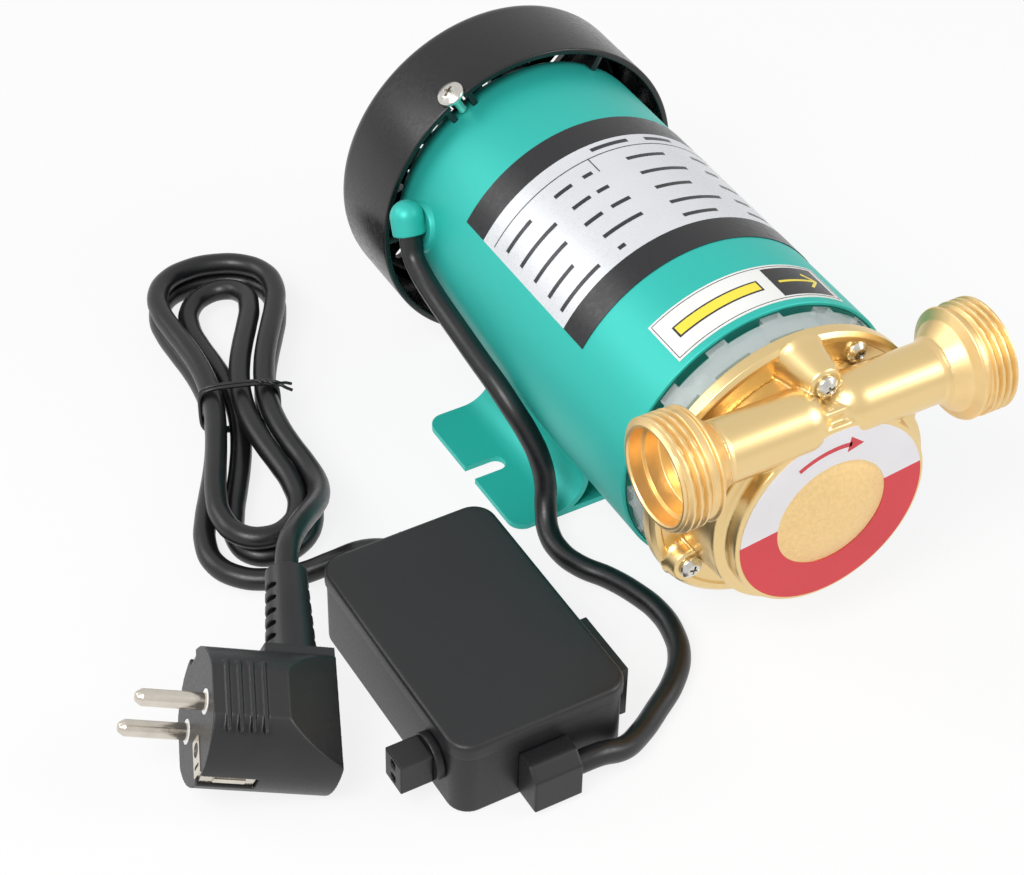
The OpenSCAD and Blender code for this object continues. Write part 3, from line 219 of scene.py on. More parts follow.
def finish(
    name, colour, rough, metal=0.0, spread=0.08, mottle=45, grain=900, bump=0.12,
    depth=0.00004, rough_spread=0.06, bands=0, **sockets
):
    """A procedural finish: mottled colour and sheen with a fine grain in the surface."""
    known = bpy.data.materials.get(name)
    if known:
        return known
    material = bpy.data.materials.new(name)
    material.use_nodes = True
    tree = material.node_tree
    shader = tree.nodes["Principled BSDF"]
    link = tree.links.new
    place = add_node(tree, "TexCoord")
    cloud = add_node(tree, "TexNoise", inputs={"Scale": mottle, "Detail": 5})
    link(place.outputs["Object"], cloud.inputs["Vector"])
    tone = add_node(tree, "ValToRGB")
    dark = [max(0, c * (1 - spread)) for c in colour]
    light = [min(1, c * (1 + spread) + 0.004 * spread) for c in colour]
    for stop, position, value in zip(tone.color_ramp.elements, NOISE_RANGE, (dark, light)):
        stop.position, stop.color = position, (*value, 1)
    link(cloud.outputs["Fac"], tone.inputs["Fac"])
    link(tone.outputs["Color"], shader.inputs["Base Color"])
    sheen = add_node(tree, "MapRange", inputs={
        "From Min": NOISE_RANGE[0], "From Max": NOISE_RANGE[1],
        "To Min": rough - rough_spread, "To Max": rough + rough_spread,
    })
    fine = add_node(tree, "TexNoise", inputs={"Scale": grain, "Detail": 3})
    link(place.outputs["Object"], fine.inputs["Vector"])
    link(fine.outputs["Fac"], sheen.inputs["Value"])
    link(sheen.outputs["Result"], shader.inputs["Roughness"])
    relief = add_node(tree, "Bump", inputs={"Strength": bump, "Distance": depth})
    height = fine
    if bands:
        height = add_node(tree, "TexWave", inputs={"Scale": bands, "Distortion": 1.5})
        height.bands_direction = "Y"
        link(place.outputs["Object"], height.inputs["Vector"])
    link(height.outputs["Fac"], relief.inputs["Height"])
    link(relief.outputs["Normal"], shader.inputs["Normal"])
    shader.inputs["Metallic"].default_value = metal
    for socket, value in sockets.items():
        shader.inputs[socket.replace("_", " ").title().replace("Ior", "IOR")].default_value = value
    return material


# finish: its colour or the name of the user's colour, roughness and the rest
COATS = {
    "can_paint": ("paint", 0.34, dict(spread=0.04, mottle=18, grain=500, bump=0.10, depth=0.00006,
                                      rough_spread=0.04, coat_weight=0.25, coat_roughness=0.18)),
    "shield_paint": ("shield", 0.45, dict(spread=0.1, grain=1400, bump=0.3)),
    "cast_brass": ("brass", 0.47, dict(metal=1.0, spread=0.07, mottle=120, grain=2600, bump=0.5,
                                       depth=0.00009, rough_spread=0.07)),
    "machined_brass": ("brass", 0.40, dict(metal=1.0, spread=0.07, mottle=110, grain=3000, bump=0.2,
                                           depth=0.00004)),
    "sand_brass": ("brass", 0.5, dict(metal=1.0, spread=0.06, mottle=900, grain=2300, bump=0.7,
                                      depth=0.00012)),
    "cowl_black": ("cowl", 0.27, dict(spread=0.2, mottle=25, grain=700, bump=0.08)),
    "box_black": ("box", 0.42, dict(spread=0.18, mottle=30, grain=1600, bump=0.22, depth=0.00003)),
    "cord_black": ("sheath", 0.34, dict(spread=0.25, mottle=90, grain=1100, bump=0.25)),
    "plug_black": ("plug", 0.40, dict(spread=0.2, mottle=60, grain=1500, bump=0.22)),
    "screw_zinc": (shade(214, 211, 204), 0.24, dict(metal=1.0, spread=0.12, mottle=300, grain=2200,
                                                    bump=0.18)),
    "nickel": (shade(214, 206, 194), 0.2, dict(metal=1.0, spread=0.08, mottle=200, grain=1800, bump=0.1)),
    "clear_plastic": ((0.97, 0.99, 0.99), 0.04, dict(
        spread=0.01, grain=260, bump=0.08, depth=0.00005, rough_spread=0.02, transmission_weight=1.0,
        ior=1.38)),
}


def coat(name):
    colour, rough, more = COATS[name]
    if isinstance(colour, str):
        colour = getattr(colours(), colour)
    return finish(name, colour, rough, **more)


def film(name, colour, rough=0.3, metal=0.0):
    return finish(name, colour, rough, metal=metal, spread=0.03, mottle=40, grain=600, bump=0.05)


# ---- mesh code, all in millimetres until piece() scales it

def pump_axis(along=0.0):
    """Local z runs along +Y on the pump axis."""
    return Matrix(((1, 0, 0, 0), (0, 0, 1, along), (0, -1, 0, AXIS_Z), (0, 0, 0, 1)))


def facing(origin, direction):
    """Local z points along a direction from an origin."""
    return Matrix.Translation(origin) @ Vector(direction).to_track_quat("Z", "Y").to_matrix().to_4x4()


def spoke(angle, along, radius=0.0):
    """A radial place, its z outwards, at an angle from the top towards +X."""
    a = math.radians(angle)
    out = Vector((math.sin(a), 0, math.cos(a)))
    place = Matrix((
        (math.cos(a), 0, math.sin(a), out.x * radius),
        (0, 1, 0, along),
        (-math.sin(a), 0, math.cos(a), AXIS_Z + out.z * radius),
        (0, 0, 0, 1),
    ))
    return place


def head_place(angle, along, radius=SCREW_CIRCLE):
    """A place on the head's screw circle, its z forwards, at an angle from +X."""
    a = math.radians(angle)
    return facing((radius * math.cos(a), along, AXIS_Z + radius * math.sin(a)), (0, -1, 0))


def plug_frame():
    turn = Euler([math.radians(a) for a in PLUG_TURN], "XYZ").to_matrix().to_4x4()
    return Matrix.Translation(PLUG_AT) @ turn


def rounded(points, closed=False, steps=5):
    """An outline of (x, y, corner radius) with its corners eased."""
    out = []
    count = len(points)
    for i, (x, y, radius) in enumerate(points):
        if radius <= 0 or (not closed and i in (0, count - 1)):
            out.append((x, y))
            continue
        corner = Vector((x, y))
        back = Vector(points[i - 1][:2]) - corner
        ahead = Vector(points[(i + 1) % count][:2]) - corner
        reach = radius / math.tan(back.angle(ahead) / 2)
        reach = min(reach, 0.49 * back.length, 0.49 * ahead.length)
        start, end = corner + back.normalized() * reach, corner + ahead.normalized() * reach
        for k in range(steps + 1):
            t = k / steps
            p = start * (1 - t) ** 2 + corner * 2 * t * (1 - t) + end * t * t
            out.append((p.x, p.y))
    return out


def bridge(bm, low, high):
    count = max(len(low), len(high))
    for i in range(count):
        j = (i + 1) % count
        if len(low) == 1:
            bm.faces.new((low[0], high[j], high[i]))
        elif len(high) == 1:
            bm.faces.new((low[i], low[j], high[0]))
        else:
            bm.faces.new((low[i], low[j], high[j], high[i]))


def revolve(bm, place, outline, closed=False, steps=None):
    """Turns an outline of (along, radius) round the local z axis; a radius may depend on the angle."""
    steps = steps or sizes().lathe_steps
    rings = []
    for along, radius in outline:
        if callable(radius) or radius > 1e-6:
            ring = []
            for i in range(steps):
                a = 2 * math.pi * i / steps
                r = radius(a) if callable(radius) else radius
                ring.append(bm.verts.new(place @ Vector((r * math.cos(a), r * math.sin(a), along))))
        else:
            ring = [bm.verts.new(place @ Vector((0, 0, along)))]
        rings.append(ring)
    for low, high in zip(rings, rings[1:]):
        bridge(bm, low, high)
    if closed:
        bridge(bm, rings[-1], rings[0])


def prism(bm, place, outline, low, high, shrink=1.0):
    """Closed prism of a flat outline between two heights; shrink scales its lower end."""
    base = [bm.verts.new(place @ Vector((x * shrink, y * shrink, low))) for x, y in outline]
    top = [bm.verts.new(place @ Vector((x, y, high))) for x, y in outline]
    bridge(bm, base, top)
    bm.faces.new(base[::-1])
    bm.faces.new(top)


def bar(x0, x1, y0, y1, low, high=None, steps=3):
    """Outline of a flat bar, its corners rounded by one radius or by one for each end."""
    high = high or low
    return rounded([(x0, y0, low), (x1, y0, low), (x1, y1, high), (x0, y1, high)], closed=True, steps=steps)


def stadium(x0, x1, width, steps=8):
    """Outline of a slot from x0 to x1, rounded at both ends."""
    r = width / 2
    out = []
    for x, start in ((x1, -90), (x0, 90)):
        for k in range(steps + 1):
            a = math.radians(start + 180 * k / steps)
            out.append((x + r * math.cos(a), r * math.sin(a)))
    return out


def round_box(bm, centre, width, length, corner, path, steps=8):
    """Rounded rectangle carried along a path of (height, inset), closed at both ends."""
    rings = []
    for height, inset in path:
        r = max(corner - inset, 0.4)
        w, l = width / 2 - inset - r, length / 2 - inset - r
        ring = []
        for k, (sx, sy) in enumerate(((1, 1), (-1, 1), (-1, -1), (1, -1))):
            for s in range(steps + 1):
                a = math.radians(90 * k + 90 * s / steps)
                ring.append(bm.verts.new((
                    centre[0] + sx * w + r * math.cos(a), centre[1] + sy * l + r * math.sin(a), height
                )))
        rings.append(ring)
    for low, high in zip(rings, rings[1:]):
        bridge(bm, low, high)
    bm.faces.new(rings[0][::-1])
    bm.faces.new(rings[-1])


def stroke(bm, radius, thick, start, end, width):
    """Flat strip on the can from one (angle, y) to another, as a closed sheet."""
    a = Vector((math.radians(start[0]) * radius, start[1]))
    b = Vector((math.radians(end[0]) * radius, end[1]))
    count = max(1, int(abs(end[0] - start[0]) / 1.5) + 1)
    side = (b - a).normalized()
    side = Vector((-side.y, side.x)) * width / 2
    sections = []
    for k in range(count + 1):
        mid = a.lerp(b, k / count)
        section = []
        for p, r in ((mid - side, radius), (mid + side, radius), (mid + side, radius + thick),
                     (mid - side, radius + thick)):
            turn = p.x / radius
            section.append(bm.verts.new((r * math.sin(turn), p.y, AXIS_Z + r * math.cos(turn))))
        sections.append(section)
    for low, high in zip(sections, sections[1:]):
        bridge(bm, low, high)
    bm.faces.new(sections[0][::-1])
    bm.faces.new(sections[-1])


def to_object(name, bm):
    bmesh.ops.recalc_face_normals(bm, faces=bm.faces)
    bmesh.ops.scale(bm, vec=(MM, MM, MM), verts=bm.verts)
    mesh = bpy.data.meshes.new(name)
    bm.to_mesh(mesh)
    bm.free()
    obj = bpy.data.objects.new(name, mesh)
    bpy.context.scene.collection.objects.link(obj)
    return obj


def freeze(obj):
    """Keeps the shape that the modifiers make, as the object's own mesh."""
    bpy.context.view_layer.update()
    graph = bpy.context.evaluated_depsgraph_get()
    made = bpy.data.meshes.new_from_object(obj.evaluated_get(graph))
    obj.modifiers.clear()
    obj.data = made
    if not made.polygons:
        raise RuntimeError(f"{obj.name} has no faces left")
    return obj


def carve(obj, cutter):
    tool = to_object(obj.name + "_cutter", cutter)
    cut = obj.modifiers.new("cut", "BOOLEAN")
    cut.operation, cut.solver, cut.object = "DIFFERENCE", "EXACT", tool
    cut.use_self = True
    freeze(obj)
    bpy.data.objects.remove(tool)
    return obj


def blended(obj, voxel, rounds, factor=0.5):
    """Melts overlapping forms into one skin and eases its edges, as a casting or a moulding has."""
    melt = obj.modifiers.new("melt", "REMESH")
    melt.mode, melt.voxel_size, melt.use_smooth_shade = "VOXEL", voxel, True
    ease = obj.modifiers.new("ease", "SMOOTH")
    ease.factor, ease.iterations = factor, rounds
    return freeze(obj)


def dress(obj, finishes, replaces=(), angle=35):
    mesh = obj.data
    mesh.name = obj.name
    mesh.materials.clear()
    for one in finishes:
        mesh.materials.append(one)
    mesh.shade_smooth()
    mesh.set_sharp_from_angle(angle=math.radians(angle))
    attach(obj, "pump_unit")
    if replaces:
        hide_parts(*replaces)
    return obj


def piece(name, bm, finish_of, replaces=(), angle=35):
    return dress(to_object(name, bm), [finish_of], replaces, angle)


def softened(name, node, finish_of, rounds=3, add=None):
    """A moulding with eased edges that stands for a plain solid."""
    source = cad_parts[node]
    bm = bmesh.new()
    bm.from_mesh(source.data)
    bmesh.ops.scale(bm, vec=(1 / MM,) * 3, verts=bm.verts)
    bmesh.ops.remove_doubles(bm, verts=bm.verts, dist=0.001)
    if add:
        add(bm)
    obj = blended(to_object(name, bm), sizes().mould_voxel, rounds)
    return dress(obj, [finish_of], [node], angle=60)


def eased_node(node, slot, finish_of, width):
    """A solid node with its own shape, a better finish and a small bevel on its edges."""
    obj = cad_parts[node]
    obj.data.materials.clear()
    obj.data.materials.append(finish_of)
    if width:
        weld = obj.modifiers.new("weld", "WELD")
        weld.merge_threshold = 0.000002
        flat = obj.modifiers.new("flat", "DECIMATE")
        flat.decimate_type, flat.angle_limit = "DISSOLVE", math.radians(0.6)
        edge = obj.modifiers.new("edge", "BEVEL")
        edge.width, edge.segments, edge.limit_method = width * MM, 2, "ANGLE"
        edge.angle_limit = math.radians(50)
        edge.harden_normals = True
    return obj


# ---- leads

def eased(t):
    return (1 - math.cos(math.pi * t)) / 2


def hank_point(turn):
    """A point of the hank at an angle counted along it, in millimetres."""
    k = int(turn // 90)
    share = HANK_SHARES[k] + (HANK_SHARES[k + 1] - HANK_SHARES[k]) * eased(turn / 90 - k)
    a = math.radians(turn)

    def mixed(outer, inner):
        return outer + (inner - outer) * share

    skew = HANK_SKEW[math.cos(a) <= 0]
    along = -math.cos(a) * mixed(*HANK_TIPS)
    swell = mixed(HANK_WAIST, 0) + mixed(*HANK_SWELL) * math.cos(a) ** 2
    across = skew * math.sin(2 * a) ** 2 - math.sin(a) * swell
    xy = HANK_AT + across * HANK_ACROSS + along * HANK_ALONG
    climb = min(max((turn - HANK_CLIMB[0]) / HANK_CLIMB[1], 0), 1)
    return (xy.x, xy.y, CORD_R + TIE_LIFT * math.sin(a) ** 2 + HANK_LAYER * eased(climb))


def plug_point(x, y, z):
    return tuple(plug_frame() @ Vector((x, y, z)))


def mains_route():
    hank = [hank_point(a) for a in range(0, HANK_END + 1, HANK_STEP)]
    first, last = Vector(hank[0]), Vector(hank[-1])
    before = first - CORD_R * (Vector(hank[1]) - first).normalized()
    after = last + CORD_R * (last - Vector(hank[-2])).normalized()
    return relaxed(BOX_ROUTE + [tuple(before)] + hank + [tuple(after)] + PLUG_ROUTE
                   + [plug_point(*RELIEF_BEFORE), plug_point(*RELIEF_TIP)])


def relaxed(route, step=5.0, rounds=5):
    """The route in even steps with its sharp turns eased; both ends stay where they are."""
    points = [Vector(p) for p in route]
    run = [0.0]
    for a, b in zip(points, points[1:]):
        run.append(run[-1] + (b - a).length)
    count = 2 * round(run[-1] / step / 2)
    even, k = [], 0
    for i in range(count + 1):
        reach = run[-1] * i / count
        while k < len(run) - 2 and run[k + 1] < reach:
            k += 1
        even.append(points[k].lerp(points[k + 1], (reach - run[k]) / (run[k + 1] - run[k])))
    for _ in range(rounds):
        inner = [(a + 2 * b + c) / 4 for a, b, c in zip(even[1:], even[2:], even[3:])]
        even[2:-2] = inner[:-1]
    for point in even:
        point.z = max(point.z, CORD_R)
    return [tuple(point) for point in even[::2]]


def route_length(route):
    return sum((Vector(b) - Vector(a)).length for a, b in zip(route, route[1:])) * MM


def cord_curve(name, route, nodes):
    curve = bpy.data.curves.new(name, "CURVE")
    curve.dimensions = "3D"
    curve.resolution_u = 6
    curve.bevel_depth = sizes().cord_diameter / 2
    curve.bevel_resolution = 7
    curve.use_fill_caps = True
    spline = curve.splines.new("BEZIER")
    spline.bezier_points.add(len(route) - 1)
    for point, place in zip(spline.bezier_points, route):
        point.co = Vector(place) * MM
        point.handle_left_type = point.handle_right_type = "AUTO"
    obj = bpy.data.objects.new(name, curve)
    bpy.context.scene.collection.objects.link(obj)
    curve.materials.append(coat("cord_black"))
    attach(obj, "pump_unit")
    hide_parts(*nodes)
    return obj


class PUMP_OT_camera(bpy.types.Operator):
    """Places the camera at the photograph's viewing angle"""

    bl_idname = "pump.camera"
    bl_label = "Camera"

    def execute(self, context):
        turn, tilt, roll = (math.radians(a) for a in (-30.570, 41.830, 1.258))
        right = Vector((math.cos(turn), math.sin(turn), 0))
        back = Vector((math.sin(turn) * math.cos(tilt), -math.cos(turn) * math.cos(tilt), math.sin(tilt)))
        up = back.cross(right)
        data = bpy.data.cameras.new("camera")
        data.sensor_width = 36
        data.lens = 36 * 2712.3 / 1024
        data.clip_start, data.clip_end = 0.05, 20
        camera = bpy.data.objects.new("camera", data)
        columns = (
            right * math.cos(roll) + up * math.sin(roll),
            up * math.cos(roll) - right * math.sin(roll),
            back,
            Vector((-0.3542, -0.5355, 0.5669)),
        )
        camera.matrix_world = Matrix([[c[i] for c in columns] for i in range(3)] + [[0, 0, 0, 1]])
        context.scene.collection.objects.link(camera)
        context.scene.camera = camera
        return {"FINISHED"}


class PUMP_OT_leads(bpy.types.Operator):
    """Lays the motor lead and the mains lead with its hank"""

    bl_idname = "pump.leads"
    bl_label = "Leads"

    def execute(self, context):
        cord_curve("motor_lead_sheath", MOTOR_ROUTE, ["motor_lead"])
        cord_curve("mains_lead_sheath", mains_route(), ["mains_lead_box", "mains_hank", "mains_lead_plug"])
        return {"FINISHED"}


class PUMP_OT_hank_tie(bpy.types.Operator):
    """Winds the wire tie round the hank's waist, with its twisted ends"""

    bl_idname = "pump.hank_tie"
    bl_label = "Hank tie"

    def execute(self, context):
        half, top = HANK_WAIST + CORD_R + 1.3, 2 * CORD_R + HANK_LAYER + TIE_LIFT + 1.6
        centre = Vector((*HANK_AT, 0))
        across, along = Vector((*HANK_ACROSS, 0)), Vector((*HANK_ALONG, 0))
        bm = bmesh.new()
        for wind in (-0.75, 0.75):
            loop = []
            for i in range(64):
                a = math.radians(360 * i / 64)
                c, s = math.cos(a), math.sin(a)
                m = (abs(c) ** 5 + abs(s) ** 5) ** -0.2
                loop.append(centre + across * half * c * m + along * (wind + 0.5 * s)
                            + Vector((0, 0, 0.9 + (top - 0.9) * (1 + s * m) / 2)))
            tube(bm, loop, 0.62, True)
        knot = centre + across * 4.5 + Vector((0, 0, top + 0.2))
        for side in (0, math.pi):
            twist = []
            for i in range(40):
                t = i / 39
                a = side + 6 * math.pi * t
                swing = 0.6 * math.cos(a) * (1 - t) + (1.6 * t * t if side else -1.6 * t * t)
                twist.append(knot + across * (11 * t + 1) - Vector((0, 0, 3.2 * t * t)) + along * swing
                             + Vector((0, 0, 0.6 * math.sin(a) * (1 - t))))
            tube(bm, twist, 0.5, False)
        piece("hank_tie_wire", bm, coat("cord_black"), ["hank_tie"], angle=60)
        return {"FINISHED"}


def tube(bm, points, radius, closed, sides=10):
    """Round wire along a list of points."""
    count = len(points)
    rings = []
    side = None
    for i, p in enumerate(points):
        ahead = points[(i + 1) % count] if closed or i + 1 < count else p
        behind = points[i - 1] if closed or i else p
        heading = (ahead - behind).normalized()
        if side is None:
            side = heading.orthogonal()
        side = (side - heading * side.dot(heading)).normalized()
        other = heading.cross(side)
        rings.append([
            bm.verts.new(p + radius * (side * math.cos(a) + other * math.sin(a)))
            for a in (2 * math.pi * k / sides for k in range(sides))
        ])
    for low, high in zip(rings, rings[1:]):
        bridge(bm, low, high)
    if closed:
        first, last = rings[0], rings[-1]
        shift = min(range(sides), key=lambda k: (first[k].co - last[0].co).length)
        bridge(bm, last, first[shift:] + first[:shift])
    else:
        bm.faces.new(rings[0][::-1])
        bm.faces.new(rings[-1])


# ---- motor can, foot and cowl

class PUMP_OT_can(bpy.types.Operator):
    """Spins the drawn can with its rolled lip, rear edge and the ring round the lead's outlet"""

    bl_idname = "pump.can"
    bl_label = "Can"

    def execute(self, context):
        bm = bmesh.new()
        inner = CAN_R - CAN_WALL
        revolve(bm, pump_axis(), rounded([
            (CAN_FRONT, inner, 0.3), (CAN_FRONT, CAN_R, 0.6), (CAN_REAR, CAN_R, 4.5), (CAN_REAR, 17.2, 1.6),
            (CAN_POCKET, 17.2, 2.2), (CAN_POCKET, 7, 0.4), (CAN_POCKET - CAN_WALL, 7, 0.4),
            (CAN_POCKET - CAN_WALL, 16.1, 1), (CAN_REAR - CAN_WALL, 16.1, 0.6),
            (CAN_REAR - CAN_WALL, inner, 3),
        ], closed=True), closed=True, steps=192)
        piece("can_shell", bm, coat("can_paint"), ["motor_housing"])
        bm = bmesh.new()
        outlet = spoke(LEAD_OUTLET_ANGLE, LEAD_OUTLET_Y)
        revolve(bm, outlet, rounded([
            (CAN_R - 1.6, 8.3, 0), (CAN_R - 0.5, 8.1, 0.5), (CAN_R + 1.2, 7.3, 0.9), (CAN_R + 1.2, 5.3, 0.5),
            (CAN_R - 1.6, 5.0, 0),
        ], closed=True), closed=True, steps=64)
        piece("outlet_ring", bm, coat("can_paint"))
        softened("outlet_hood", "lead_hood", coat("can_paint"), rounds=4)
        eased_node("foot_bracket", "can_paint", coat("can_paint"), 0.45)
        return {"FINISHED"}


class PUMP_OT_cowl(bpy.types.Operator):
    """Moulds the fan cowl with its screw notches, ribs and rear grille"""

    bl_idname = "pump.cowl"
    bl_label = "Fan cowl"

    def execute(self, context):
        bm = bmesh.new()
        revolve(bm, pump_axis(), rounded([
            (COWL_REAR, 0, 0), (COWL_REAR, COWL_R, 4.5), (COWL_FRONT, COWL_R, 0.7),
            (COWL_FRONT, COWL_R - COWL_WALL, 0.5), (COWL_REAR - COWL_WALL, COWL_R - COWL_WALL, 2.5),
            (COWL_REAR - COWL_WALL, 0, 0),
        ], steps=7), steps=192)
        cowl = to_object("cowl_moulding", bm)
        cut = bmesh.new()
        for ring, (r0, r1) in enumerate(GRILLE_ROWS):
            for i in range(GRILLE_COUNT):
                turn = math.tau / GRILLE_COUNT * (i + ring / 2)
                place = pump_axis(COWL_REAR) @ Matrix.Rotation(turn, 4, "Z")
                prism(cut, place, stadium(r0, r1, 3), -COWL_WALL - 1, 1)
        for angle in COWL_SCREW_ANGLES:
            place = spoke(angle, COWL_FRONT) @ Matrix.Rotation(math.radians(90), 4, "Z")
            prism(cut, place, stadium(-4, 3.25, 5.5), CAN_R + 1, COWL_R + 2)
        carve(cowl, cut)
        dress(cowl, [coat("cowl_black")], ["fan_cowl"], angle=30)
        bm = bmesh.new()
        for angle in COWL_RIB_ANGLES:
            place = spoke(angle, COWL_FRONT)
            prism(bm, place, bar(-1, 1, 0.2, 8, 0.5), CAN_R + 0.15, COWL_R - 1)
        piece("cowl_ribs", bm, coat("cowl_black"))
        return {"FINISHED"}


def cross_screw(head_r, head_h, shank):
    """A pan head screw with a cross recess, its seat at z = 0."""
    bm = bmesh.new()
    revolve(bm, Matrix(), rounded([
        (-shank, 0, 0), (-shank, 2, 0.3), (0, 2, 0), (0, head_r, 0.25), (head_h * 0.45, head_r, 0.7),
        (head_h * 0.93, head_r * 0.55, 0.9), (head_h, 0, 0),
    ]), steps=48)
    screw = to_object("screw_form", bm)
    cut = bmesh.new()
    w, l = 0.42 * head_r / 3.5, 1.75 * head_r / 3.5
    plus = [(w, w), (w, l), (-w, l), (-w, w), (-l, w), (-l, -w), (-w, -w), (-w, -l), (w, -l), (w, -w),
            (l, -w), (l, w)]
    prism(cut, Matrix(), plus, head_h - 1.5, head_h + 0.6, shrink=0.55)
    carve(screw, cut)
    mesh = screw.data
    bpy.data.objects.remove(screw)
    return mesh


def screws(name, node, places, head_r, head_h, shank):
    form = cross_screw(head_r, head_h, shank)
    bm = bmesh.new()
    for turn, place in enumerate(places):
        one = bmesh.new()
        one.from_mesh(form)
        bmesh.ops.scale(one, vec=(1 / MM,) * 3, verts=one.verts)
        one.transform(place @ Matrix.Rotation(math.radians(25 + 50 * turn), 4, "Z"))
        made = bpy.data.meshes.new("screw_copy")
        one.to_mesh(made)
        one.free()
        bm.from_mesh(made)
        bpy.data.meshes.remove(made)
    piece(name, bm, coat("screw_zinc"), [node], angle=30)


class PUMP_OT_screws(bpy.types.Operator):
    """Sets the cross-head screws of the cowl and the pump head"""

    bl_idname = "pump.screws"
    bl_label = "Screws"

    def execute(self, context):
        screws("cowl_screw_set", "cowl_screws",
               [spoke(a, COWL_FRONT + 2.5, COWL_R + 0.4) for a in COWL_SCREW_ANGLES], 4.3, 2.4, 7)
        tops = {90: DISC_FRONT + 8.8, 210: DISC_FRONT + 17, 330: DISC_FRONT + 17}
        screws("casing_screw_set", "casing_screws", [head_place(a, y) for a, y in tops.items()], 3.5, 2.4, 5)
        screws("plate_screw_set", "backplate_screws",
               [head_place(a, PLATE_FRONT) for a in PLATE_SCREW_ANGLES], 3.5, 2.4, 4)
        return {"FINISHED"}


# ---- brass head

def neck(bm, side):
    place = facing((0, PIPE_Y, PIPE_Z), (side, 0, 0))
    outline = [(9 - 9.25 * math.cos(math.radians(a)), 9.25 * math.sin(math.radians(a)))
               for a in range(0, 90, 10)]
    outline[0] = (9 - 9.25, 0)
    revolve(bm, place, outline + [(9, 9.25), (35, 9.25), (36.5, 10.1), (36.5, 0)], steps=96)


class PUMP_OT_casing(bpy.types.Operator):
    """Casts the brass head: drum, disc, dome, necks, saddle and screw bosses blended into one skin"""

    bl_idname = "pump.casing"
    bl_label = "Brass head"

    def execute(self, context):
        bm = bmesh.new()
        axis = pump_axis()
        revolve(bm, axis, rounded([
            (DISC_FRONT, 0, 0), (DISC_FRONT, 31.5, 1.1), (DISC_FRONT + 4.9, 31.5, 0.5),
            (DISC_FRONT + 5.9, 35, 0.8), (PLATE_FRONT, 36, 0), (PLATE_FRONT, 0, 0),
        ]))
        sphere = (17.3 ** 2 + 4.5 ** 2) / 9
        dome = [(DISC_FRONT - 4.5 + sphere - math.sqrt(sphere ** 2 - r * r), r)
                for r in (0, 2, 4, 6, 8, 10, 12, 14, 16, 17.3)]
        revolve(bm, axis, dome + [(DISC_FRONT + 3, 17.3), (DISC_FRONT + 3, 0)])
        for side in (-1, 1):
            neck(bm, side)
        top = AXIS_Z + 31.5
        block = bar(-9.5, 9.5, top - 6, top + 3.6, 0.5, 1.2, steps=5)
        flat = Matrix(((1, 0, 0, 0), (0, 0, 1, DISC_FRONT + 2.4), (0, 1, 0, 0), (0, 0, 0, 1)))
        prism(bm, flat, block, 0, 8)
        revolve(bm, head_place(90, PLATE_FRONT), rounded([
            (-0.2, 0, 0), (-0.2, 8.4, 0), (2.2, 7.5, 2), (13.1, 5.2, 0.9), (13.1, 0, 0)]), steps=64)
        for angle in LOW_BOSS_ANGLES:
            revolve(bm, head_place(angle, PLATE_FRONT), rounded([
                (-0.2, 0, 0), (-0.2, 6.8, 0), (1.2, 5.9, 0.8), (4.9, 5.4, 0.8), (4.9, 0, 0)]), steps=64)
        head = blended(to_object("brass_head", bm), sizes().cast_voxel, 5)
        cut = bmesh.new()
        revolve(cut, axis, [
            (DISC_FRONT + 3.4, 0), (DISC_FRONT + 3.4, 9), (DISC_FRONT + 11.9, 9), (DISC_FRONT + 11.9, 22),
            (DISC_FRONT + 8.9, 22), (DISC_FRONT + 8.9, 32.5), (PLATE_FRONT + 2, 32.5), (PLATE_FRONT + 2, 0),
        ])
        for side in (-1, 1):
            revolve(cut, facing((0, PIPE_Y, PIPE_Z), (side, 0, 0)),
                    [(9, 0), (9, BORE_R), (45, BORE_R), (45, 0)], steps=64)
        for angle in PLATE_SCREW_ANGLES:
            revolve(cut, head_place(angle, PLATE_FRONT + 0.5), [(0, 0), (0, 3.9), (3.6, 3.9), (3.6, 0)],
                    steps=48)
        carve(head, cut)
        dress(head, [coat("cast_brass"), coat("sand_brass")], ["pump_casing"], angle=40)
        centre = Vector((0, DISC_FRONT * MM, AXIS_Z * MM))
        for face in head.data.polygons:
            spot = face.center - centre
            if spot.y < 0.0002 and math.hypot(spot.x, spot.z) < 0.0175:
                face.material_index = 1
        return {"FINISHED"}


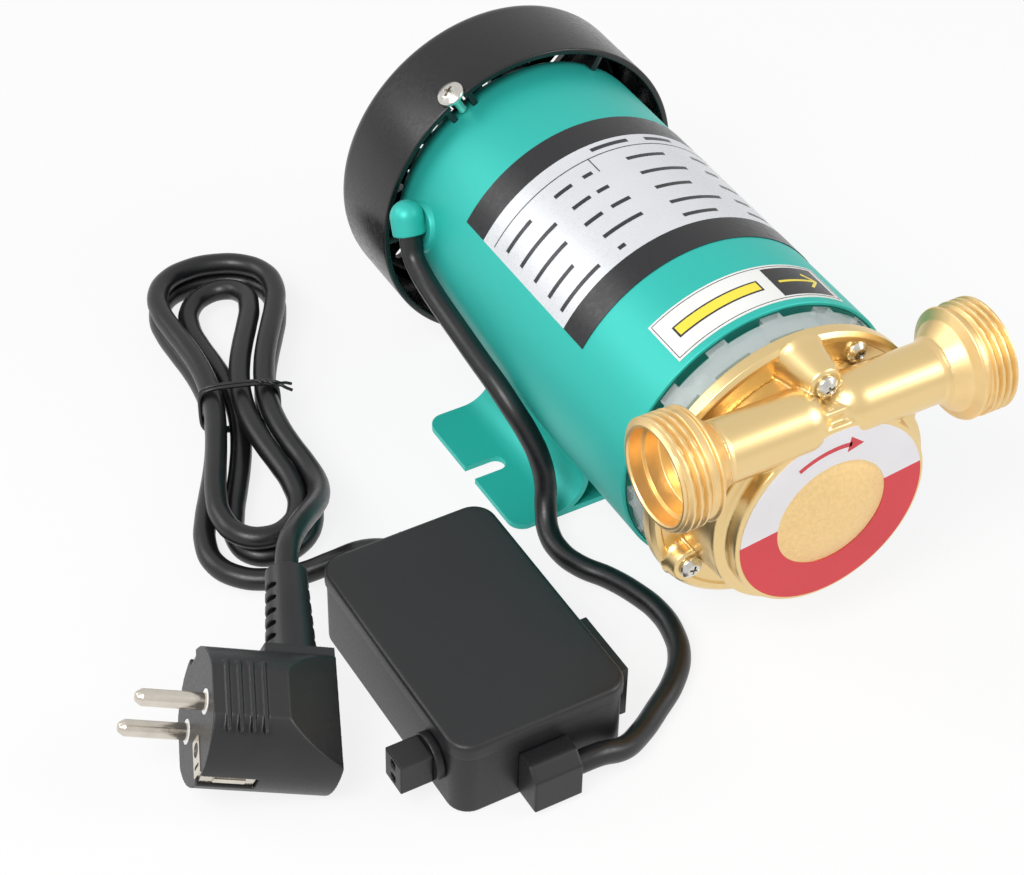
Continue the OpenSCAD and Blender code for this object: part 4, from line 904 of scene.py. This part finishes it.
class PUMP_OT_pipe_ends(bpy.types.Operator):
    """Turns the flared pipe ends with their cut threads and stepped mouths"""

    bl_idname = "pump.pipe_ends"
    bl_label = "Pipe ends"

    def execute(self, context):
        pitch, depth = sizes().thread_pitch / MM, sizes().thread_depth / MM
        crest, first, last = 16.6, 45.1, PIPE_END - 0.7

        def ridge(along):
            def radius(angle):
                phase = (along / pitch - angle / (2 * math.pi)) % 1
                shape = min(1, max(0, (0.5 - abs(phase - 0.5)) * 3.2 - 0.22))
                fade = min(1, max(0, (along - first) / 0.9)) * min(1, max(0, (last - along) / 0.7) + 0.35)
                return crest - depth + depth * shape * fade
            return radius

        turns = [(first + (last - first) * i / 72, ridge(first + (last - first) * i / 72)) for i in range(73)]
        for name, side in (("inlet_end", -1), ("outlet_end", 1)):
            bm = bmesh.new()
            place = facing((0, PIPE_Y, PIPE_Z), (side, 0, 0))
            outline = rounded([
                (33.4, BORE_R, 0), (33.4, 9.1, 0), (36.2, 9.6, 3), (40.6, 13.4, 2), (42.2, 16.3, 0.5),
                (42.9, 16.6, 0.3), (43.3, 15.5, 0.3), (44.9, 15.3, 0),
            ]) + turns + rounded([
                (PIPE_END - 0.6, 15.2, 0), (PIPE_END, 14.7, 0.2), (PIPE_END, 14.1, 0.2),
                (PIPE_END - 0.6, 13.7, 0.2), (PIPE_END - 4.6, 13.7, 0.2), (PIPE_END - 4.8, 12.4, 0.2),
                (PIPE_END - 9.3, 12.2, 0.6), (PIPE_END - 9.5, 7.2, 0.4), (PIPE_END - 10.3, BORE_R, 0.2),
                (33.6, BORE_R, 0),
            ])
            revolve(bm, place, outline, closed=True, steps=180)
            piece(name, bm, coat("machined_brass"), angle=42)
        return {"FINISHED"}


class PUMP_OT_plate(bpy.types.Operator):
    """Turns the brass back plate and gives the clear ring its plastic"""

    bl_idname = "pump.plate"
    bl_label = "Back plate and clear ring"

    def execute(self, context):
        bm = bmesh.new()
        f = PLATE_FRONT
        revolve(bm, pump_axis(), rounded([
            (f, 12, 0), (f, 41.6, 0.4), (f - 0.7, 42.3, 0.3), (f - 0.7, PLATE_R - 1.3, 0.5),
            (f + 0.4, PLATE_R, 0.5), (RING_FRONT, PLATE_R, 0.4), (RING_FRONT, 15, 0),
            (RING_FRONT + 8.2, 15, 1), (RING_FRONT + 8.2, 7, 0.3), (RING_FRONT + 6.2, 7, 0.3),
            (RING_FRONT + 6.2, 12, 0),
        ], closed=True), closed=True, steps=192)
        piece("brass_plate", bm, coat("cast_brass"), ["backplate"])
        eased_node("clear_ring", "clear_plastic", coat("clear_plastic"), 0.25)
        return {"FINISHED"}


# ---- labels

def arc_band(bm, r0, r1, a0, a1, y0, y1, steps=24):
    """Flat ring section on the disc between two angles from +X."""
    low, high = [], []
    outline = []
    for r, start, end in ((r0, a0, a1), (r1, a1, a0)):
        for k in range(steps + 1):
            a = math.radians(start + (end - start) * k / steps)
            outline.append((r * math.cos(a), r * math.sin(a)))
    for x, z in outline:
        low.append(bm.verts.new((x, y0, AXIS_Z + z)))
        high.append(bm.verts.new((x, y1, AXIS_Z + z)))
    bridge(bm, low, high)
    for k in range(steps):
        a, b, c, d = k, k + 1, 2 * steps - k, 2 * steps + 1 - k
        bm.faces.new((low[a], low[b], low[c], low[d]))
        bm.faces.new((high[a], high[b], high[c], high[d]))


class PUMP_OT_labels(bpy.types.Operator):
    """Lays the bare labels: two-tone disc ring with its turning arrow, flow arrow, bands and ruled lines"""

    bl_idname = "pump.labels"
    bl_label = "Labels"

    def execute(self, context):
        face = DISC_FRONT - 0.2
        bm = bmesh.new()
        revolve(bm, pump_axis(), [(face, 17.9), (face, 30), (face + 0.2, 30), (face + 0.2, 17.9)],
                closed=True, steps=180)
        bmesh.ops.bisect_plane(bm, geom=bm.verts[:] + bm.edges[:] + bm.faces[:],
                               plane_co=(0, 0, AXIS_Z + LABEL_RISE), plane_no=(LABEL_TURN, 0, 1))
        label = to_object("disc_ring_label", bm)
        dress(label,
              [film("film_red", colours().label_red, 0.34), film("film_pale", shade(232, 230, 233), 0.34)],
              ["disc_label"])
        for face_of in label.data.polygons:
            spot = face_of.center / MM
            if spot.z - AXIS_Z - LABEL_RISE > -LABEL_TURN * spot.x:
                face_of.material_index = 1
        bm = bmesh.new()
        arc_band(bm, 23.1, 24.6, 80, 122, face - 0.05, face)
        head = [(math.cos(math.radians(a)) * r, math.sin(math.radians(a)) * r)
                for a, r in ((82, 21.2), (70, 24.0), (82, 26.6))]
        low = [bm.verts.new((x, face - 0.05, AXIS_Z + z)) for x, z in head]
        high = [bm.verts.new((x, face, AXIS_Z + z)) for x, z in head]
        bridge(bm, low, high)
        bm.faces.new(low)
        bm.faces.new(high[::-1])
        piece("turning_arrow", bm, film("film_arrow_red", shade(206, 52, 62)))

        silver = film("film_silver", colours().label_silver, 0.3, metal=0.2)
        black = film("film_black", shade(27, 27, 30), 0.3)
        white = film("film_white", shade(240, 240, 237), 0.3)
        for node, slot, film_of in (
            ("rating_label", "label_silver", silver), ("rating_bands", "label_black", black),
            ("flow_label", "label_white", white), ("flow_arrow_field", "label_black", black),
        ):
            eased_node(node, slot, film_of, 0)
        ink = bmesh.new()
        stroke(ink, INK_R, INK, (-58.5, RULE_Y), (58.5, RULE_Y), 0.35)
        stroke(ink, INK_R, INK, (-9.4, 11.2), (-9.4, 4.6), 0.35)
        columns = (
            (-56, (-41, -35, -37, -41, -34)), (-29, (-21, -19, -20, -16, -22)), (-16, (-12, -11, -8, -9)),
            (3, (20, 24, 19, 26, 18)), (34, (43, 41, 44, 42, 45)),
        )
        for column, (start, ends) in enumerate(columns):
            for row, (y, end) in enumerate(zip(ROW_Y, ends)):
                begin = start + (0, 2, 1, 3, 4)[row] if column == 1 else start
                stroke(ink, INK_R, INK, (begin, y), (end, y), 1.5)
        for start, end in ((-6, 10), (18, 31)):
            stroke(ink, INK_R, INK, (start, 14.3), (end, 14.3), 1.6)
        for y in (-70.1, -55.4):
            stroke(ink, INK_R, INK, (-36, y), (36, y), 0.25)
        for a in (-36, 36):
            stroke(ink, INK_R, INK, (a, -70.1), (a, -55.4), 0.25)
        stroke(ink, INK_R, INK, (-31, FLOW_Y), (5, FLOW_Y), 4.6)
        piece("label_lines", ink, film("film_ink", shade(40, 40, 44)))
        arrow = bmesh.new()
        shaft = ((13, FLOW_Y), (30.5, FLOW_Y))
        for start, end in (shaft, ((26, -59.4), (31, -62.9)), ((26, -66), (31, -62.5))):
            stroke(arrow, INK_R, 0.05, start, end, 0.9)
        stroke(arrow, INK_R + INK, 0.04, (-30.2, FLOW_Y), (4.2, FLOW_Y), 3.4)
        piece("flow_arrow", arrow, film("film_yellow", shade(247, 226, 74)))
        return {"FINISHED"}


# ---- control box

class PUMP_OT_control_box(bpy.types.Operator):
    """Moulds the control box, its cover, glands, connector and clip"""

    bl_idname = "pump.control_box"
    bl_label = "Control box"

    def execute(self, context):
        low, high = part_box("box_cover")
        centre = ((low.x + high.x) / 2 / MM, (low.y + high.y) / 2 / MM)
        width, length = (high.x - low.x) / MM, (high.y - low.y) / MM
        seam, top = low.z / MM, high.z / MM
        bm = bmesh.new()
        round_box(bm, centre, width, length, 7, rounded([
            (0, 3, 0), (0, 0.6, 1.2), (seam - 0.25, 0.6, 0.25), (seam - 0.25, 2.5, 0.2),
            (2, 2.5, 0.6), (2, 4, 0),
        ]))
        piece("box_tray", bm, coat("box_black"), ["box_base"])
        bm = bmesh.new()
        round_box(bm, centre, width, length, 7, rounded([
            (top - 2, 4, 0), (top - 2, 2.6, 0.4), (seam, 2.6, 0.1), (seam, 0, 0.45),
            (top, 0, 1.9), (top, 5, 0),
        ], steps=8))
        piece("box_lid", bm, coat("box_black"), ["box_cover"])
        for name, node in (("motor_gland", "box_gland_motor"), ("mains_gland", "box_gland_mains"),
                           ("connector_grommet", "sensor_grommet"), ("connector", "sensor_connector"),
                           ("clip", "side_clip")):
            softened(name, node, coat("box_black"),
                     rounds=14 if name == "motor_gland" else 4)
        return {"FINISHED"}


# ---- plug

class PUMP_OT_plug(bpy.types.Operator):
    """Moulds the angled plug, its strain relief, pins and earth plate"""

    bl_idname = "pump.plug"
    bl_label = "Plug"

    def execute(self, context):
        place = plug_frame()

        def grips(bm):
            for side in (-1, 1):
                for k in range(4):
                    turn = place @ Matrix.Translation((side * 17.1, 0, -4 - 3.4 * k)) \
                        @ Matrix.Rotation(math.radians(90), 4, "Y")
                    prism(bm, turn, bar(-0.55, 0.55, -12, 9, 0.3, steps=2), -1.1, 1.1)

        body = softened("plug_moulding", "plug_body", coat("plug_black"), rounds=3, add=grips)
        relief = softened("plug_strain_relief", "plug_relief", coat("plug_black"), rounds=2)
        cut = bmesh.new()
        for side in (-1, 1):
            for k in range(5):
                slot_at = place @ Matrix.Translation((0, 24.5 + 4 * k, -28 + side * 5.2))
                prism(cut, slot_at, stadium(-3.6, 3.6, 1.6, steps=4), -2.4, 2.4)
        carve(relief, cut)
        relief.data.shade_smooth()
        relief.data.set_sharp_from_angle(angle=math.radians(45))
        bm = bmesh.new()
        for side in (-1, 1):
            pin = place @ Matrix.Translation((side * PIN_PITCH / 2, 0, 0))
            revolve(bm, pin, rounded([
                (-8, 0, 0), (-8, 2.04, 0), (0, 2.04, 0), (0.1, 2.4, 0.1), (17.2, 2.4, 1.2), (19, 1.25, 0.6),
                (18.7, 0.4, 0.2), (18.5, 0, 0)]), steps=48)
        pins = piece("plug_pin_pair", bm, coat("nickel"), ["plug_pins"])
        rings = eased_node("plug_pin_rings", "ring_white", film("ring_white", shade(236, 236, 234), 0.45), 0)
        bm = bmesh.new()
        for side in (-1, 1):
            plate = place @ Matrix.Translation((0, side * 17.5, 0)) @ Matrix.Rotation(math.pi / 2, 4, "X")
            prism(bm, plate, bar(-2.6, 2.6, -15.5, -0.6, 0.6, 0.8), -0.45, 0.45)
            rib_span = (-0.9, 0.45) if side > 0 else (-0.45, 0.9)
            prism(bm, plate, bar(-1.1, 1.1, -13, -4, 0.5), *rib_span)
        prism(bm, place, bar(-3, 3, -17.2, -6.4, 0.8), -0.5, 0.25)
        earth = to_object("plug_earth_pair", bm)
        cut = bmesh.new()
        hole = [(-0.3, 0), (-0.3, 2.1), (1, 2.1), (1, 0)]
        revolve(cut, place @ Matrix.Translation((0, -9.9, 0)), hole, steps=32)
        prism(cut, place @ Matrix.Translation((0, -14.6, 0)), stadium(-1.5, 1.5, 1.1, steps=5), -0.3, 1)
        carve(earth, cut)
        dress(earth, [coat("nickel"), coat("plug_black")], ["plug_earth_contacts"], angle=30)
        back = place.inverted()
        for face in earth.data.polygons:
            spot = back @ (face.center / MM)
            if abs(spot.z + 0.3) < 0.05 and spot.y > -17:
                face.material_index = 1
        route_length(mains_route())
        return {"FINISHED"}


# ---- inner pieces that keep their solid shape

INNER_FINISHES = {
    "stator_core": ("lamination", shade(150, 152, 155), 0.42, 0.9, dict(bands=900)),
    "stator_winding": ("copper_wire", shade(190, 110, 56), 0.4, 0.8, dict(bands=700)),
    "outer_races": ("shaft_steel", shade(200, 202, 205), 0.2, 1.0, {}),
    "inner_races": ("shaft_steel", shade(200, 202, 205), 0.2, 1.0, {}),
    "bearing_balls": ("shaft_steel", shade(215, 216, 218), 0.12, 1.0, {}),
    "ball_cages": ("cage_brass", shade(196, 160, 92), 0.35, 1.0, {}),
    "wave_washer": ("shaft_steel", shade(190, 190, 192), 0.3, 1.0, {}),
    "seal_seat": ("seal_ceramic", shade(236, 233, 225), 0.18, 0.0, {}),
    "seal_head": ("seal_carbon", shade(58, 58, 60), 0.35, 0.0, {}),
    "seal_spring": ("shaft_steel", shade(205, 206, 210), 0.22, 1.0, {}),
    "chamber_gasket": ("black_rubber", shade(32, 32, 32), 0.6, 0.0, {}),
    "shaft": ("shaft_steel", shade(198, 200, 204), 0.25, 1.0, dict(bands=1200)),
    "rotor_core": ("lamination", shade(150, 152, 156), 0.4, 0.9, dict(bands=900)),
    "rotor_rings": ("rotor_aluminium", shade(208, 210, 212), 0.38, 1.0, {}),
    "impeller": ("cast_brass", shade(222, 178, 108), 0.35, 1.0, {}),
    "impeller_nut": ("screw_steel", shade(206, 203, 196), 0.26, 1.0, {}),
    "water_slinger": ("black_rubber", shade(30, 30, 30), 0.6, 0.0, {}),
    "cooling_fan": ("fan_plastic", shade(52, 52, 54), 0.45, 0.0, {}),
    "fan_clip": ("shaft_steel", shade(190, 190, 193), 0.3, 1.0, {}),
    "box_screws": ("screw_steel", shade(190, 188, 184), 0.3, 1.0, {}),
    "box_board": ("board_green", shade(28, 104, 60), 0.4, 0.0, {}),
    "run_capacitor": ("capacitor_film", shade(228, 228, 222), 0.35, 0.0, {}),
    "box_relay": ("relay_blue", shade(48, 88, 168), 0.3, 0.0, {}),
}


class PUMP_OT_inner_parts(bpy.types.Operator):
    """Gives the motor's, seal's and box's inner parts their finishes"""

    bl_idname = "pump.inner_parts"
    bl_label = "Inner parts"

    def execute(self, context):
        for node, (slot, colour, rough, metal, more) in INNER_FINISHES.items():
            eased_node(node, slot, finish(node + "_finish", colour, rough, metal=metal, **more), 0)
        eased_node("front_shield", "shield_paint", coat("shield_paint"), 0)
        return {"FINISHED"}


# ---- floor, backdrop and lights

def either(tree, first, second):
    """The larger of two values."""
    larger = add_node(tree, "Math", "MAXIMUM")
    tree.links.new(first, larger.inputs[0])
    tree.links.new(second, larger.inputs[1])
    return larger.outputs[0]


def backdrop_material():
    """Pale floor: the camera, gloss and glass see it nearly white, and it keeps the shadows."""
    material = bpy.data.materials.new("pale_floor")
    material.use_nodes = True
    tree = material.node_tree
    tree.nodes.clear()
    link = tree.links.new
    out = add_node(tree, "OutputMaterial")
    paper = add_node(tree, "BsdfDiffuse", inputs={"Color": (*[FLOOR_TONE] * 3, 1)})
    glow = add_node(tree, "Emission", inputs={"Color": (1, 1, 1, 1), "Strength": 1})
    ray = add_node(tree, "LightPath").outputs
    seen = either(tree, either(tree, ray["Is Camera Ray"], ray["Is Glossy Ray"]), ray["Is Transmission Ray"])
    share = add_node(tree, "Math", "MULTIPLY", {1: FLOOR_GLOW})
    link(seen, share.inputs[0])
    mix = add_node(tree, "MixShader")
    link(share.outputs[0], mix.inputs["Fac"])
    link(paper.outputs[0], mix.inputs[1])
    link(glow.outputs[0], mix.inputs[2])
    link(mix.outputs[0], out.inputs["Surface"])
    return material


class PUMP_OT_stage(bpy.types.Operator):
    """Sets the pale floor, the white surround and the soft studio lights"""

    bl_idname = "pump.stage"
    bl_label = "Stage"

    def execute(self, context):
        bm = bmesh.new()
        bmesh.ops.create_grid(bm, x_segments=8, y_segments=8, size=6000)
        floor = to_object("floor", bm)
        floor.location.z = -0.0003
        floor.data.materials.append(backdrop_material())
        world = bpy.data.worlds.new("surround")
        context.scene.world = world
        world.use_nodes = True
        tree = world.node_tree
        back = tree.nodes["Background"]
        ray = add_node(tree, "LightPath").outputs
        gloss = add_node(tree, "Math", "MULTIPLY_ADD", {1: GLOSS_SHARE, 2: AMBIENT_SHARE})
        tree.links.new(ray["Is Glossy Ray"], gloss.inputs[0])
        seen = either(tree, ray["Is Camera Ray"], ray["Is Transmission Ray"])
        tree.links.new(either(tree, seen, gloss.outputs[0]), back.inputs["Strength"])
        back.inputs["Color"].default_value = (1, 1, 1, 1)
        for name, place, aim, width, power in LAMPS:
            data = bpy.data.lights.new(name, "AREA")
            data.shape, data.size, data.energy = "SQUARE", width, power
            lamp = bpy.data.objects.new(name, data)
            lamp.matrix_world = facing(place, Vector(place) - Vector(aim))
            context.scene.collection.objects.link(lamp)
        context.scene.view_settings.view_transform = "Standard"
        return {"FINISHED"}


class PUMP_PT_panel(bpy.types.Panel):
    """Lists the pump's pieces in the order in which they are made"""

    bl_label = "Booster pump"
    bl_space_type = "VIEW_3D"
    bl_region_type = "UI"
    bl_category = "Pump"

    def draw(self, context):
        column = self.layout.column()
        for group in (context.scene.pump_sizes, context.scene.pump_colours):
            for key in group.bl_rna.properties.keys():
                if key not in ("rna_type", "name"):
                    column.prop(group, key)
        for step in STEPS:
            column.operator(step.bl_idname)


STEPS = (
    PUMP_OT_camera, PUMP_OT_leads, PUMP_OT_hank_tie, PUMP_OT_can, PUMP_OT_cowl, PUMP_OT_screws,
    PUMP_OT_casing, PUMP_OT_pipe_ends, PUMP_OT_plate, PUMP_OT_labels, PUMP_OT_control_box,
    PUMP_OT_plug, PUMP_OT_inner_parts, PUMP_OT_stage,
)

CLASSES = (PumpSizes, PumpColours, *STEPS, PUMP_PT_panel)


def register():
    for one in CLASSES:
        bpy.utils.register_class(one)
    bpy.types.Scene.pump_sizes = PointerProperty(type=PumpSizes)
    bpy.types.Scene.pump_colours = PointerProperty(type=PumpColours)


def unregister():
    del bpy.types.Scene.pump_colours
    del bpy.types.Scene.pump_sizes
    for one in reversed(CLASSES):
        bpy.utils.unregister_class(one)


def main():
    register()
    for step in STEPS:
        group, name = step.bl_idname.split(".")
        getattr(getattr(bpy.ops, group), name)()


if __name__ == "__main__":
    main()
